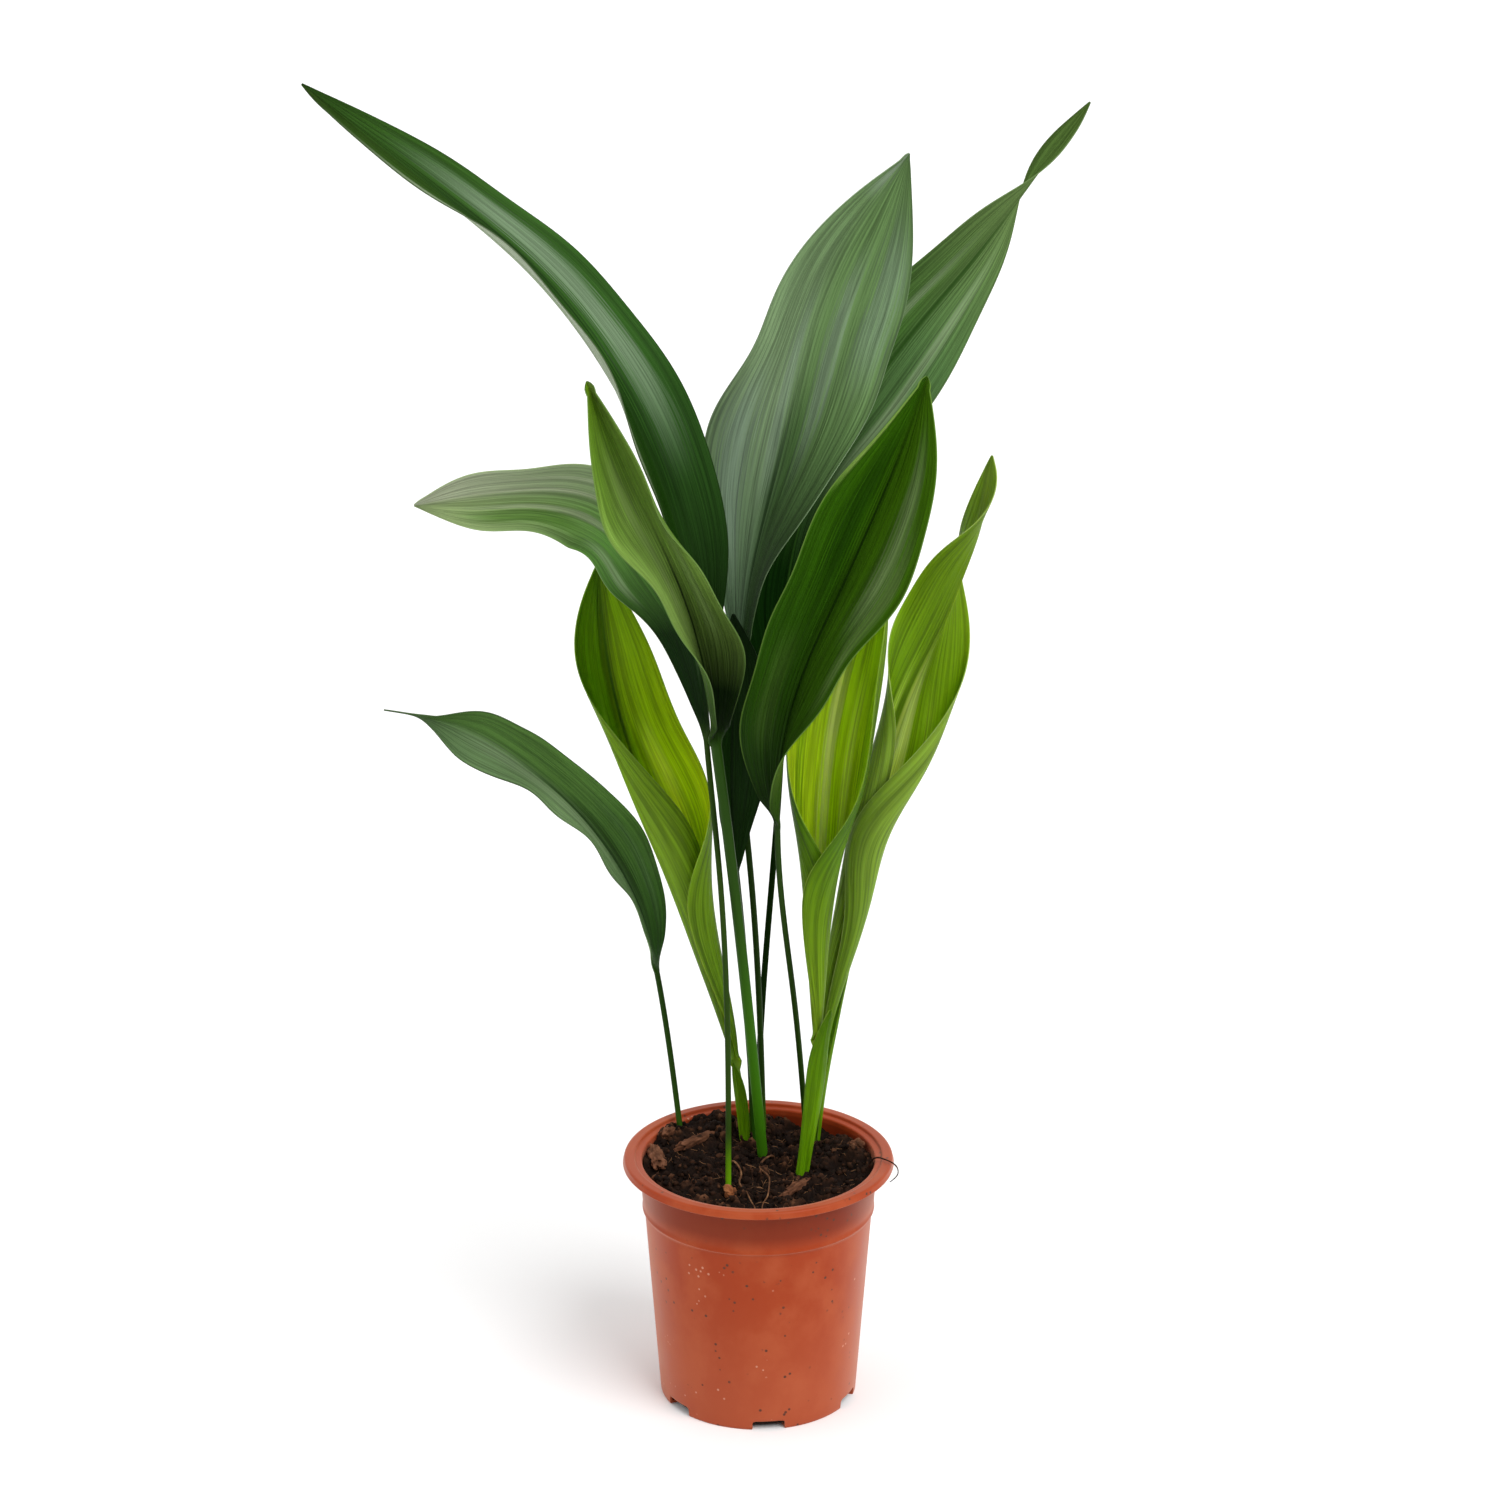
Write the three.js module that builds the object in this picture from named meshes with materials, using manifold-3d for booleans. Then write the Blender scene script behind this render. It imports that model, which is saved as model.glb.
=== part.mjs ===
// Potted cast iron plant: a clump of long-stalked leaves in a round nursery pot of peat.
// Millimetres, +Z up. The origin is the middle of the pot's underside, and -Y is the front.
import * as THREE from 'three';
import { mergeVertices } from 'three/addons/utils/BufferGeometryUtils.js';
import Module from 'manifold-3d';

const solids = await Module();
solids.setup();

// ---- driving dimensions -------------------------------------------------------------------

const CLEARANCE = 0.4; // between a piece and what it stands or lies in

const POT = {
  height: 132,
  rimRadius: 70, // outer edge of the rolled rim
  mouthRadius: 63.8, // inner edge of the rim's top
  rimDrop: 3.6, // height of the rim's outer lip
  collarRadius: 61.4, // outside, just under the rim
  beadRadius: 60.1, // raised ring that ends the collar
  beadZ: 104.5,
  baseRadius: 51.2,
  wall: 1.3,
  floor: 1.6,
  ledgeDrop: 1.4, // small step inside, under the mouth
  sides: 48,
  notches: 6,
  notchWidth: 17,
  notchHeight: 4.8,
  notchDepth: 9,
  notchTurn: 6, // degrees the first notch lies right of the front
};

const SOIL = {
  level: 122.8,
  mounds: [ // where the soil is heaped up, how high and how wide
    { x: -55, y: 22, height: 6, spread: 28 },
    { x: -25, y: 60, height: 6, spread: 25 },
    { x: 50, y: 20, height: 4, spread: 15 },
  ],
  lump: 1.2, // half height of the clods
  rings: 9,
  sides: 40,
};

const BLADE = {
  edge: 0.7, // thickness at the margin and over most of the blade
  ribSwell: 1.3, // extra thickness under the midrib
  ribReach: 4, // how far from the midrib the swell goes
  stalkSteps: 4,
  fadeIn: 0.08, // share of the blade over which the round stalk opens
  rolledFadeIn: 0.035, // the same for a young leaf, which is rolled up at once
  rollingUp: [0.007, 0.014, 0.021, 0.028, 0.035, 0.045], // shares with a ring while it rolls up
  flatBelow: 5, // half width below which a tip flattens out
};

// ---- colours ------------------------------------------------------------------------------

/** A material with the look of one finish. */
function finish(color, roughness) {
  return new THREE.MeshStandardMaterial({ color, roughness, metalness: 0 });
}

const FINISH = {
  pot: finish('#b9593a', 0.5),
  soil: finish('#35221a', 1),
  deep: finish('#1f4a22', 0.38),
  mature: finish('#35652f', 0.42),
  fresh: finish('#4b7d33', 0.42),
  young: finish('#7aa62b', 0.45),
  sheath: finish('#4f8a2a', 0.5),
  bark: finish('#7a4a30', 0.95),
  root: finish('#8a5a38', 0.9),
};

// ---- the leaves ---------------------------------------------------------------------------
// rib       points along the stalk and midrib, from the foot in the soil to the tip
// from      which of those points is the start of the blade
// half      half width of the blade, at even steps from its start to its tip
// turn      degrees the upper face is turned to the right of the front, along the blade
// rise      degrees each half leaves the midrib upwards, for the left and the right half
// curl      degrees each half bends further up on its way to the margin
// tighten   1 bends evenly, more bends mostly near the margin
// share     width of the left and right half against half
// wave      height, count and shift of the waves along the margin
// rolled    true for a young leaf, which is still rolled up above its stalk

const LEAVES = [
  {
    name: 'leaf_arching_left',
    finish: FINISH.deep,
    stalk: 1.7,
    rib: [[-2, 38, 111], [-11, 35, 270], [-26, 29, 381], [-34, 25, 429], [-48, 22, 484],
      [-75, 17, 545], [-113, 12, 597], [-157, 6, 637], [-216, 0, 687]],
    from: 2,
    half: [1.7, 24.5, 31.5, 31.5, 24.5, 15, 0.5],
    turn: [56, 60, 75, 26],
    rise: [25, 25],
    curl: [8, 8],
    wave: { height: 1.5, count: 4.5, shift: [0.1, 0.55] },
  },
  {
    name: 'leaf_broad_centre',
    finish: FINISH.mature,
    stalk: 1.6,
    rib: [[3, 45, 111], [-3.8, 45, 268], [-9.4, 40, 388], [-1, 44, 443], [10, 50, 490],
      [20, 58, 537], [38, 64, 589], [74, 70, 640]],
    from: 2,
    half: [1.6, 15.5, 31.5, 38, 40.5, 44, 43, 30, 0.5],
    turn: [-26, -50, -17, 28, 35, 44],
    rise: [20, 20],
    curl: [10, 10],
    wave: { height: 1.6, count: 3.5, shift: [0.3, 0.8] },
  },
  {
    name: 'leaf_upper_right',
    finish: FINISH.deep,
    stalk: 1.6,
    rib: [[-1.5, 51, 111], [2.4, 59, 196], [12.5, 72, 350], [21, 84, 443], [47, 92, 498],
      [76, 98, 540], [108, 102, 579], [135, 104, 616], [165, 104, 659]],
    from: 2,
    half: [1.6, 27.5, 37, 35, 21.5, 13.5, 0.5],
    turn: [-12, -73, -93, -60, -16, 66, 166],
    rise: [[25, 30, 20, -5, -14], -14],
    curl: [-7, -7],
    share: [[1, 1.6, 1.2, 1, 1, 1, 1], 1],
    wave: { height: 1.4, count: 4, shift: [0.6, 0.15] },
  },
  {
    name: 'leaf_front_right',
    finish: FINISH.fresh,
    stalk: 1.5,
    rib: [[26, 50, 111], [18.4, 23, 209], [9.4, -10, 314], [13, -24, 368], [25, -34, 414],
      [37, -40, 444], [53, -46, 484], [68, -48, 523], [79, -50, 558]],
    from: 2,
    half: [1.5, 19, 30.5, 38, 46, 35, 0.5],
    turn: [-74, -20, -5, 1],
    rise: [42, 45],
    curl: [21, 23],
    wave: { height: 1.6, count: 3.5, shift: [0.05, 0.5] },
  },
  {
    name: 'leaf_front_left',
    finish: FINISH.fresh,
    stalk: 2.7,
    rib: [[3.5, 17, 111], [-7, 4, 228], [-21, -24, 364], [-28, -34, 412], [-38, -40, 450],
      [-52, -46, 486], [-81, -56, 557]],
    from: 2,
    half: [2.7, 19.4, 31, 30.2, 34, 27, 0.5],
    turn: [40, 23, -5, 4],
    rise: [51, 51],
    curl: [31, 31],
    wave: { height: 1.5, count: 3.5, shift: [0.4, 0.9] },
  },
  {
    name: 'leaf_level_left',
    finish: FINISH.mature,
    stalk: 1.45,
    rib: [[-15.5, -22, 111], [-19.6, -6.5, 290], [-26, -3, 360], [-31, 1, 403], [-50, 3, 451],
      [-81, 3, 482], [-114, 0, 487], [-168, -6, 482]],
    from: 2,
    half: [1.45, 12.5, 25.5, 39.5, 41.5, 38, 24.5, 17, 0.5],
    turn: [-50, -54, -48, -33, -22, -6],
    rise: [11, 18],
    curl: [0, 4],
    share: [[1, 1.06, 1.05, 0.86, 0.85, 1, 1], 1],
    wave: { height: 1.2, count: 4, shift: [0.7, 0.2] },
  },
  {
    name: 'leaf_low_left',
    finish: FINISH.deep,
    stalk: 1.5,
    rib: [[-39, 33, 113], [-48, 52, 180], [-53, 57, 210], [-61, 60, 242], [-75, 60, 272],
      [-98, 58, 304], [-124, 54, 329], [-152, 48, 349], [-190, 40, 361]],
    from: 2,
    half: [1.5, 12, 19.5, 23, 22, 18.5, 17, 16.5, 15, 3.2, 0.5],
    turn: [66, 65, 34, -63],
    rise: [21, 21],
    curl: [12, 12],
    wave: { height: 1.6, count: 5, shift: [0.2, 0.65] },
  },
  {
    name: 'leaf_inner_small',
    finish: FINISH.deep,
    stalk: 1.7,
    rib: [[0, 29, 111], [-8, 25, 225], [-12, 19, 278], [-14, 13, 333], [-13, 12, 386],
      [-12.5, 15, 420]],
    from: 2,
    half: [1.7, 10, 18, 19, 15, 0.5],
    turn: [34],
    rise: [26, 26],
    curl: [16, 16],
    wave: { height: 0.6, count: 3, shift: [0, 0.5] },
  },
];

const YOUNG_LEAVES = [
  {
    name: 'leaf_young_left',
    finish: FINISH.young,
    rolled: true,
    stalk: 1.6,
    rib: [[-6, 29, 111], [-11, 37, 163], [-29, 43, 228], [-46, 48, 280], [-66, 50, 337],
      [-77, 50, 386], [-80, 47, 438]],
    from: 1,
    half: [1.6, 21.5, 41.5, 52, 37, 26, 0.5],
    turn: [5, 16, 19, 4],
    rise: [[21, 41, 33, 5], [19, 29, 18, 3]],
    curl: [[148, 251, 226, 173, 113, 51, 33], [140, 192, 191, 105, 70, 58, 28]],
    tighten: 1.5,
    share: [0.95, 1],
  },
  {
    name: 'leaf_young_middle',
    finish: FINISH.young,
    rolled: true,
    stalk: 2.2,
    rib: [[20.5, -7, 111], [30, 5, 189], [31, 13, 238], [32, 20, 288], [36, 23, 351],
      [47, 22, 404], [63, 18, 447]],
    from: 1,
    half: [2.2, 22.5, 39.5, 43, 41, 34.5, 0.5],
    turn: [-12, -7, -4, -8],
    rise: [[21, 32, 19, 4], [30, 37, 21, 11]],
    curl: [[145, 252, 221, 113, 74, 47, 40], [140, 200, 178, 99, 91, 110, 80]],
    tighten: 1.5,
    share: [0.9, 1],
  },
  {
    name: 'leaf_young_right',
    finish: FINISH.young,
    rolled: true,
    stalk: 2,
    rib: [[28, 36, 111], [33.5, 36, 167], [42.5, 36, 223], [53, 34, 282], [65, 33, 334],
      [78, 33, 375], [94, 36, 410], [102, 38, 431], [111, 40, 458], [116, 42, 494]],
    from: 1,
    half: [2, 16, 32.5, 48.5, 39.5, 28.5, 18.5, 0.5],
    turn: [-45, -23, -7, -9, 13, 37, 83, 158],
    rise: [[-7, 2, 25, -9, -35, 13], [28, 17, 30, -22, -48, 4]],
    curl: [[180, 233, 238, 237, 186, 2, -56, -12], [150, 195, 202, 222, 205, 128, 28, 7]],
    tighten: 1.5,
    share: [[0.9, 0.86, 0.82, 0.75, 0.72, 0.85, 0.95, 1], 1],
  },
];

// Sheaths: the pointed scale leaves that wrap the foot of a shoot. Each has the height of its
// tip, the degrees its keel lies right of the front, the degrees it wraps at its foot, how much
// its radius swells upwards, and how far its tip leans off the shoot.
const SHEATHS = [
  {
    name: 'sheath_front_right', around: 'leaf_young_middle',
    top: 212, turn: 30, wrap: 250, swell: 2.1, lean: 6.9,
  },
  { name: 'sheath_left', around: 'leaf_young_left', top: 168, turn: -15, wrap: 240, swell: 0.6, lean: 1 },
  {
    name: 'sheath_back_right', around: 'leaf_young_right',
    top: 226, turn: 108, wrap: 150, swell: 1.5, lean: 0.8,
  },
];

// Bark chips: middle, length, width, thickness, turn and tilt in degrees, number of corners.
const CHIPS = [
  { name: 'bark_chip_left', at: [-52.5, 3, 128.4], size: [24, 7, 5], turn: 100, tilt: 6, corners: 8 },
  { name: 'bark_chip_back_left', at: [-47.6, 27.6, 131.2], size: [9, 7, 6], turn: 65, tilt: -8, corners: 7 },
  { name: 'bark_chip_front', at: [19.5, -21, 123.7], size: [28, 4.5, 3], turn: 56, tilt: 8, corners: 8 },
  { name: 'bark_clod_right', at: [50.5, 19, 127.4], size: [9, 8, 6.5], turn: 15, tilt: 0, corners: 9 },
  { name: 'bark_sliver', at: [-33, 22, 129.4], size: [27, 5, 4.5], turn: 47, tilt: 12, corners: 8 },
  { name: 'rhizome_tip', at: [-14, -29, 124.1], size: [10, 6.5, 6], turn: -62, tilt: 0, corners: 8 },
];

// Roots that show: points along each one and its radius. The first and last points are buried.
const ROOTS = [
  {
    name: 'root_over_rim',
    radius: 0.55,
    path: [[55, -1, 119.5], [57, -2.5, 125.5], [58.3, -4, 130.5], [61, -5.8, 133], [64.7, -8.6, 133.4],
      [68.4, -12, 133.2], [71.2, -14.6, 131.4], [71.6, -15.4, 128.6], [69.6, -16, 125.8], [67.4, -16.2, 124]],
  },
  {
    name: 'root_front_left',
    radius: 0.6,
    path: [[-15, 8, 121], [-13.5, 4, 126.2], [-8.8, -10, 125.6], [-9.8, -19, 125.3], [-6.5, -29, 125],
      [-3.5, -41, 124.6], [-1.8, -47, 123.8], [-1.2, -50, 120.5]],
  },
  {
    name: 'root_front_right',
    radius: 0.6,
    path: [[9, 15, 120.5], [7.5, 11, 126], [0.8, -2.6, 125.8], [4.2, -9.5, 125.5], [5.4, -23.8, 125.2],
      [4, -37, 124.8], [2, -44, 124.2], [1.6, -48, 120.5]],
  },
];

// ---- curves -------------------------------------------------------------------------------

/** Natural cubic spline through values at increasing knots. */
class Spline {
  constructor(knots, values) {
    this.knots = knots;
    this.values = values;
    this.bend = this.solveBends();
  }

  /** Second derivatives at the knots, zero at both ends, by elimination along the row. */
  solveBends() {
    const { knots, values } = this;
    const last = knots.length - 1;
    const carry = new Array(last + 1).fill(0);
    const load = new Array(last + 1).fill(0);
    for (let i = 1; i < last; i += 1) {
      const before = knots[i] - knots[i - 1];
      const after = knots[i + 1] - knots[i];
      const kink = (values[i + 1] - values[i]) / after - (values[i] - values[i - 1]) / before;
      const pivot = 2 * (before + after) - before * carry[i - 1];
      carry[i] = after / pivot;
      load[i] = (6 * kink - before * load[i - 1]) / pivot;
    }
    const bend = new Array(last + 1).fill(0);
    for (let i = last - 1; i > 0; i -= 1) {
      bend[i] = load[i] - carry[i] * bend[i + 1];
    }
    return bend;
  }

  at(x) {
    const { knots, values, bend } = this;
    let i = 0;
    while (i < knots.length - 2 && x > knots[i + 1]) {
      i += 1;
    }
    const span = knots[i + 1] - knots[i];
    const a = (knots[i + 1] - x) / span;
    const b = 1 - a;
    const curve = ((a ** 3 - a) * bend[i] + (b ** 3 - b) * bend[i + 1]) * (span * span) / 6;
    return a * values[i] + b * values[i + 1] + curve;
  }
}

/** A value along the blade: one number, or a list at even steps, joined smoothly. */
function profile(given) {
  const list = Array.isArray(given) ? given : [given];
  if (list.length === 1) {
    return () => list[0];
  }
  const knots = list.map((_, i) => i / (list.length - 1));
  const spline = new Spline(knots, list);
  return (t) => spline.at(t);
}

/** 0 below 0, 1 above 1, and an even S between. */
function ease(x) {
  const c = Math.min(1, Math.max(0, x));
  return c * c * (3 - 2 * c);
}

const RIB_SAMPLES = 300;
const FRONT = new THREE.Vector3(0, -1, 0);

/** The line of a stalk and its midrib, read by length along it. */
class Rib {
  constructor(points, from) {
    const knots = [0];
    for (let i = 1; i < points.length; i += 1) {
      const step = points[i].map((v, k) => v - points[i - 1][k]);
      knots.push(knots[i - 1] + Math.hypot(...step));
    }
    const axes = [0, 1, 2].map((k) => new Spline(knots, points.map((p) => p[k])));
    this.points = [];
    this.lengths = [0];
    for (let i = 0; i <= RIB_SAMPLES; i += 1) {
      const x = (knots[knots.length - 1] * i) / RIB_SAMPLES;
      this.points.push(new THREE.Vector3(axes[0].at(x), axes[1].at(x), axes[2].at(x)));
      if (i > 0) {
        this.lengths.push(this.lengths[i - 1] + this.points[i].distanceTo(this.points[i - 1]));
      }
    }
    this.length = this.lengths[RIB_SAMPLES];
    const fromSample = (knots[from] / knots[knots.length - 1]) * RIB_SAMPLES;
    this.bladeStart = this.lengths[Math.round(fromSample)];
  }

  /** Point and direction at a length along the line. */
  at(length) {
    let i = 0;
    while (i < RIB_SAMPLES - 1 && this.lengths[i + 1] < length) {
      i += 1;
    }
    const share = (length - this.lengths[i]) / (this.lengths[i + 1] - this.lengths[i]);
    const point = this.points[i].clone().lerp(this.points[i + 1], share);
    const before = this.points[Math.max(0, i - 1)];
    const after = this.points[Math.min(RIB_SAMPLES, i + 2)];
    return { point, along: after.clone().sub(before).normalize() };
  }

  /** The length along the line at which it reaches a height. */
  lengthAtHeight(z) {
    return this.lengths[this.points.findIndex((p) => p.z >= z)];
  }
}

/** The blade's right-hand and upward directions where its rib runs along, after a turn. */
function bladeFrame(along, degrees) {
  const up = FRONT.clone().addScaledVector(along, -FRONT.dot(along)).normalize();
  const right = new THREE.Vector3().crossVectors(along, up);
  const angle = THREE.MathUtils.degToRad(degrees);
  const turnedRight = right.clone().multiplyScalar(Math.cos(angle)).addScaledVector(up, -Math.sin(angle));
  const turnedUp = up.clone().multiplyScalar(Math.cos(angle)).addScaledVector(right, Math.sin(angle));
  return { right: turnedRight, up: turnedUp };
}

// ---- leaf solids --------------------------------------------------------------------------

/**
 * A closed solid from rings of points. Each ring runs along the upper face from left to right
 * and back along the lower face, and both faces are split along the same diagonals.
 */
function loftedSolid(rings) {
  const around = rings[0].length;
  const half = around / 2;
  const positions = rings.flat().flatMap((p) => [p.x, p.y, p.z]);
  const index = [];
  for (let i = 0; i < rings.length - 1; i += 1) {
    for (let j = 0; j < around; j += 1) {
      const a = i * around + j;
      const b = i * around + ((j + 1) % around);
      const c = a + around;
      const d = b + around;
      if (j < half) {
        index.push(a, b, d, a, d, c);
      } else {
        index.push(a, b, c, b, d, c);
      }
    }
  }
  const end = (rings.length - 1) * around;
  for (let j = 0; j < half - 1; j += 1) {
    const opposite = around - 1 - j;
    index.push(j, opposite, opposite - 1, j, opposite - 1, j + 1);
    index.push(end + j, end + opposite - 1, end + opposite, end + j, end + j + 1, end + opposite - 1);
  }
  const geometry = new THREE.BufferGeometry();
  geometry.setAttribute('position', new THREE.Float32BufferAttribute(positions, 3));
  geometry.setIndex(index);
  return geometry;
}

const BEND_STEPS = 6; // small steps per facet when a half blade's bend is added up

/** Places and bend angles across one half blade, from the midrib to the margin, 1 wide. */
function halfSection(rise, curl, tighten, facets) {
  const places = [{ x: 0, z: 0, angle: rise }];
  const small = facets * BEND_STEPS;
  let x = 0;
  let z = 0;
  for (let i = 0; i < small; i += 1) {
    const angle = rise + curl * ((i + 0.5) / small) ** tighten;
    x += Math.cos(angle) / small;
    z += Math.sin(angle) / small;
    if ((i + 1) % BEND_STEPS === 0) {
      places.push({ x, z, angle: rise + curl * ((i + 1) / small) ** tighten });
    }
  }
  return places;
}

/** A leaf as a function of the length along its rib, with its values read as profiles. */
class Leaf {
  constructor(spec, facets, steps) {
    this.spec = spec;
    this.facets = facets;
    this.steps = steps;
    this.rib = new Rib(spec.rib, spec.from);
    this.half = profile(spec.half);
    this.turn = profile(spec.turn);
    this.rise = spec.rise.map(profile);
    this.curl = spec.curl.map(profile);
    this.share = (spec.share ?? [1, 1]).map(profile);
  }

  /** The lengths along the rib at which a ring of points is taken. */
  stations() {
    const { bladeStart, length } = this.rib;
    const stalk = Array.from({ length: BLADE.stalkSteps }, (_, i) => (bladeStart * i) / BLADE.stalkSteps);
    const even = Array.from({ length: this.steps }, (_, i) => (i + 1) / this.steps);
    const opening = this.spec.rolled ? BLADE.rollingUp : [];
    const blade = [0, ...opening, ...even].map((t) => bladeStart + (length - bladeStart) * t);
    return [...stalk, ...blade];
  }

  /** Point and direction on the straight run between the two rings about a length. */
  runAt(length) {
    const stations = this.stations();
    const next = Math.max(1, stations.findIndex((s) => s > length));
    const start = this.rib.at(stations[next - 1]).point;
    const along = this.rib.at(stations[next]).point.sub(start).normalize();
    const point = start.clone().addScaledVector(along, length - stations[next - 1]);
    return { point, along };
  }

  /** Height of the margin's wave at blade share t on one side. */
  waveAt(t, side) {
    const { wave } = this.spec;
    if (!wave) {
      return 0;
    }
    return wave.height * Math.sin(Math.PI * t) * Math.sin(2 * Math.PI * (wave.count * t + wave.shift[side]));
  }

  /** Half thickness above and below the middle surface, from a round stalk to a thin blade. */
  thickness(out, halfWidth, open) {
    const round = this.spec.stalk * Math.sqrt(1 - (0.96 * out) ** 2);
    const nearRib = 1 - ease((out * halfWidth) / BLADE.ribReach);
    const swell = BLADE.ribSwell * Math.min(1, halfWidth / 10) * nearRib;
    const above = BLADE.edge / 2;
    const below = BLADE.edge / 2 + swell;
    return {
      above: round * (1 - open) + above * open,
      below: round * (1 - open) + below * open,
    };
  }

  /** The ring of points round the section at one length along the rib. */
  ring(length) {
    const { point, along } = this.rib.at(length);
    const t = Math.max(0, (length - this.rib.bladeStart) / (this.rib.length - this.rib.bladeStart));
    const open = ease(t / (this.spec.rolled ? BLADE.rolledFadeIn : BLADE.fadeIn));
    const { right, up } = bladeFrame(along, this.turn(t));
    const halfWidth = t > 0 ? this.half(t) : this.spec.stalk;
    const bent = open * Math.min(1, halfWidth / BLADE.flatBelow);
    const rises = this.rise.map((given) => THREE.MathUtils.degToRad(given(t)) * bent);
    const ribTilt = (rises[0] - rises[1]) / 2; // the midrib faces midway between the two halves
    const upper = [];
    const lower = [];
    for (const side of [0, 1]) {
      const hand = side === 0 ? -1 : 1;
      const width = halfWidth * this.share[side](t);
      const curl = THREE.MathUtils.degToRad(this.curl[side](t)) * bent;
      const places = halfSection(rises[side], curl, this.spec.tighten ?? 1, this.facets);
      const wave = this.waveAt(t, side);
      places.forEach((place, k) => {
        if (side === 1 && k === 0) {
          return;
        }
        const out = k / this.facets;
        const { above, below } = this.thickness(out, width, open);
        const tilt = k === 0 ? ribTilt : place.angle;
        const face = right.clone().multiplyScalar(-hand * Math.sin(tilt));
        face.addScaledVector(up, Math.cos(tilt));
        const middle = point.clone().addScaledVector(right, hand * place.x * width);
        middle.addScaledVector(up, place.z * width).addScaledVector(face, wave * out * out);
        const top = middle.clone().addScaledVector(face, above);
        const bottom = middle.clone().addScaledVector(face, -below);
        if (side === 0) {
          upper.unshift(top);
          lower.unshift(bottom);
        } else {
          upper.push(top);
          lower.push(bottom);
        }
      });
    }
    return [...upper, ...lower.reverse()];
  }

  geometry() {
    return loftedSolid(this.stations().map((length) => this.ring(length)));
  }
}

const HOLE = { sides: 12, depth: 22 };

/** A round rod along the foot of a leaf's stalk, a little longer than what stands in the soil. */
function stalkRod(leaf, radius) {
  const { sides, depth } = HOLE;
  const reach = radius / Math.cos(Math.PI / sides);
  const rings = [-CLEARANCE, depth].map((length) => {
    const { point, along } = leaf.runAt(length);
    const { right, up } = bladeFrame(along, 0);
    return Array.from({ length: sides }, (_, j) => {
      const angle = Math.PI - (2 * Math.PI * (j + 0.5)) / sides;
      const p = point.clone().addScaledVector(right, reach * Math.cos(angle));
      return p.addScaledVector(up, reach * Math.sin(angle));
    });
  });
  return loftedSolid(rings);
}

const SHEATH = { thickness: 0.7, steps: 8, facets: 8, off: 0.6, leansFrom: 0.7 };

/** Inner radius of a sheath at its foot, clear of the stalk it wraps. */
function sheathRadius(host) {
  return host.spec.stalk + SHEATH.off;
}

/** A pointed scale that wraps a stalk: a curved wall, narrowing to a tip at its top. */
function sheathGeometry(spec, host) {
  const reach = host.rib.lengthAtHeight(spec.top);
  const rings = Array.from({ length: SHEATH.steps + 1 }, (_, i) => {
    const t = i / SHEATH.steps;
    const { point, along } = host.runAt(reach * t);
    const { right, up } = bladeFrame(along, spec.turn);
    const lean = spec.lean * (Math.max(0, t - SHEATH.leansFrom) / (1 - SHEATH.leansFrom)) ** 2;
    const middle = point.clone().addScaledVector(up, lean);
    const spread = THREE.MathUtils.degToRad(spec.wrap / 2) * (1 - 0.93 * t ** 3);
    const wall = (radius) => Array.from({ length: SHEATH.facets + 1 }, (_, j) => {
      const angle = Math.PI / 2 + spread - (2 * spread * j) / SHEATH.facets;
      const p = middle.clone().addScaledVector(right, radius * Math.cos(angle));
      return p.addScaledVector(up, radius * Math.sin(angle));
    });
    const inner = sheathRadius(host) + spec.swell * ease((t - 0.15) / 0.6);
    return [...wall(inner + SHEATH.thickness), ...wall(inner).reverse()];
  });
  return loftedSolid(rings);
}

// ---- joining and cutting ------------------------------------------------------------------

/** A manifold solid from a closed three.js geometry. */
function toSolid(geometry) {
  const bare = geometry.clone();
  bare.deleteAttribute('normal');
  bare.deleteAttribute('uv');
  const merged = mergeVertices(bare, 1e-4);
  const vertProperties = new Float32Array(merged.getAttribute('position').array);
  const triVerts = new Uint32Array(merged.getIndex().array);
  return new solids.Manifold(new solids.Mesh({ numProp: 3, vertProperties, triVerts }));
}

/** The three.js geometry of a manifold solid's largest body. */
function toGeometry(solid) {
  const bodies = solid.decompose();
  const largest = bodies.reduce((best, body) => (body.volume() > best.volume() ? body : best));
  const mesh = largest.getMesh();
  const geometry = new THREE.BufferGeometry();
  geometry.setAttribute('position', new THREE.Float32BufferAttribute(mesh.vertProperties, 3));
  geometry.setIndex(Array.from(mesh.triVerts));
  return geometry;
}

/** One geometry less the others. */
function cut(geometry, cutters) {
  const whole = cutters.reduce((solid, cutter) => solid.subtract(toSolid(cutter)), toSolid(geometry));
  return toGeometry(whole);
}

// ---- the pot ------------------------------------------------------------------------------

/** Outer radius of the tapered wall under the bead at a height. */
function wallRadius(z) {
  const top = POT.beadRadius - 1.1;
  return POT.baseRadius + ((top - POT.baseRadius) * z) / POT.beadZ;
}

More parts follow.
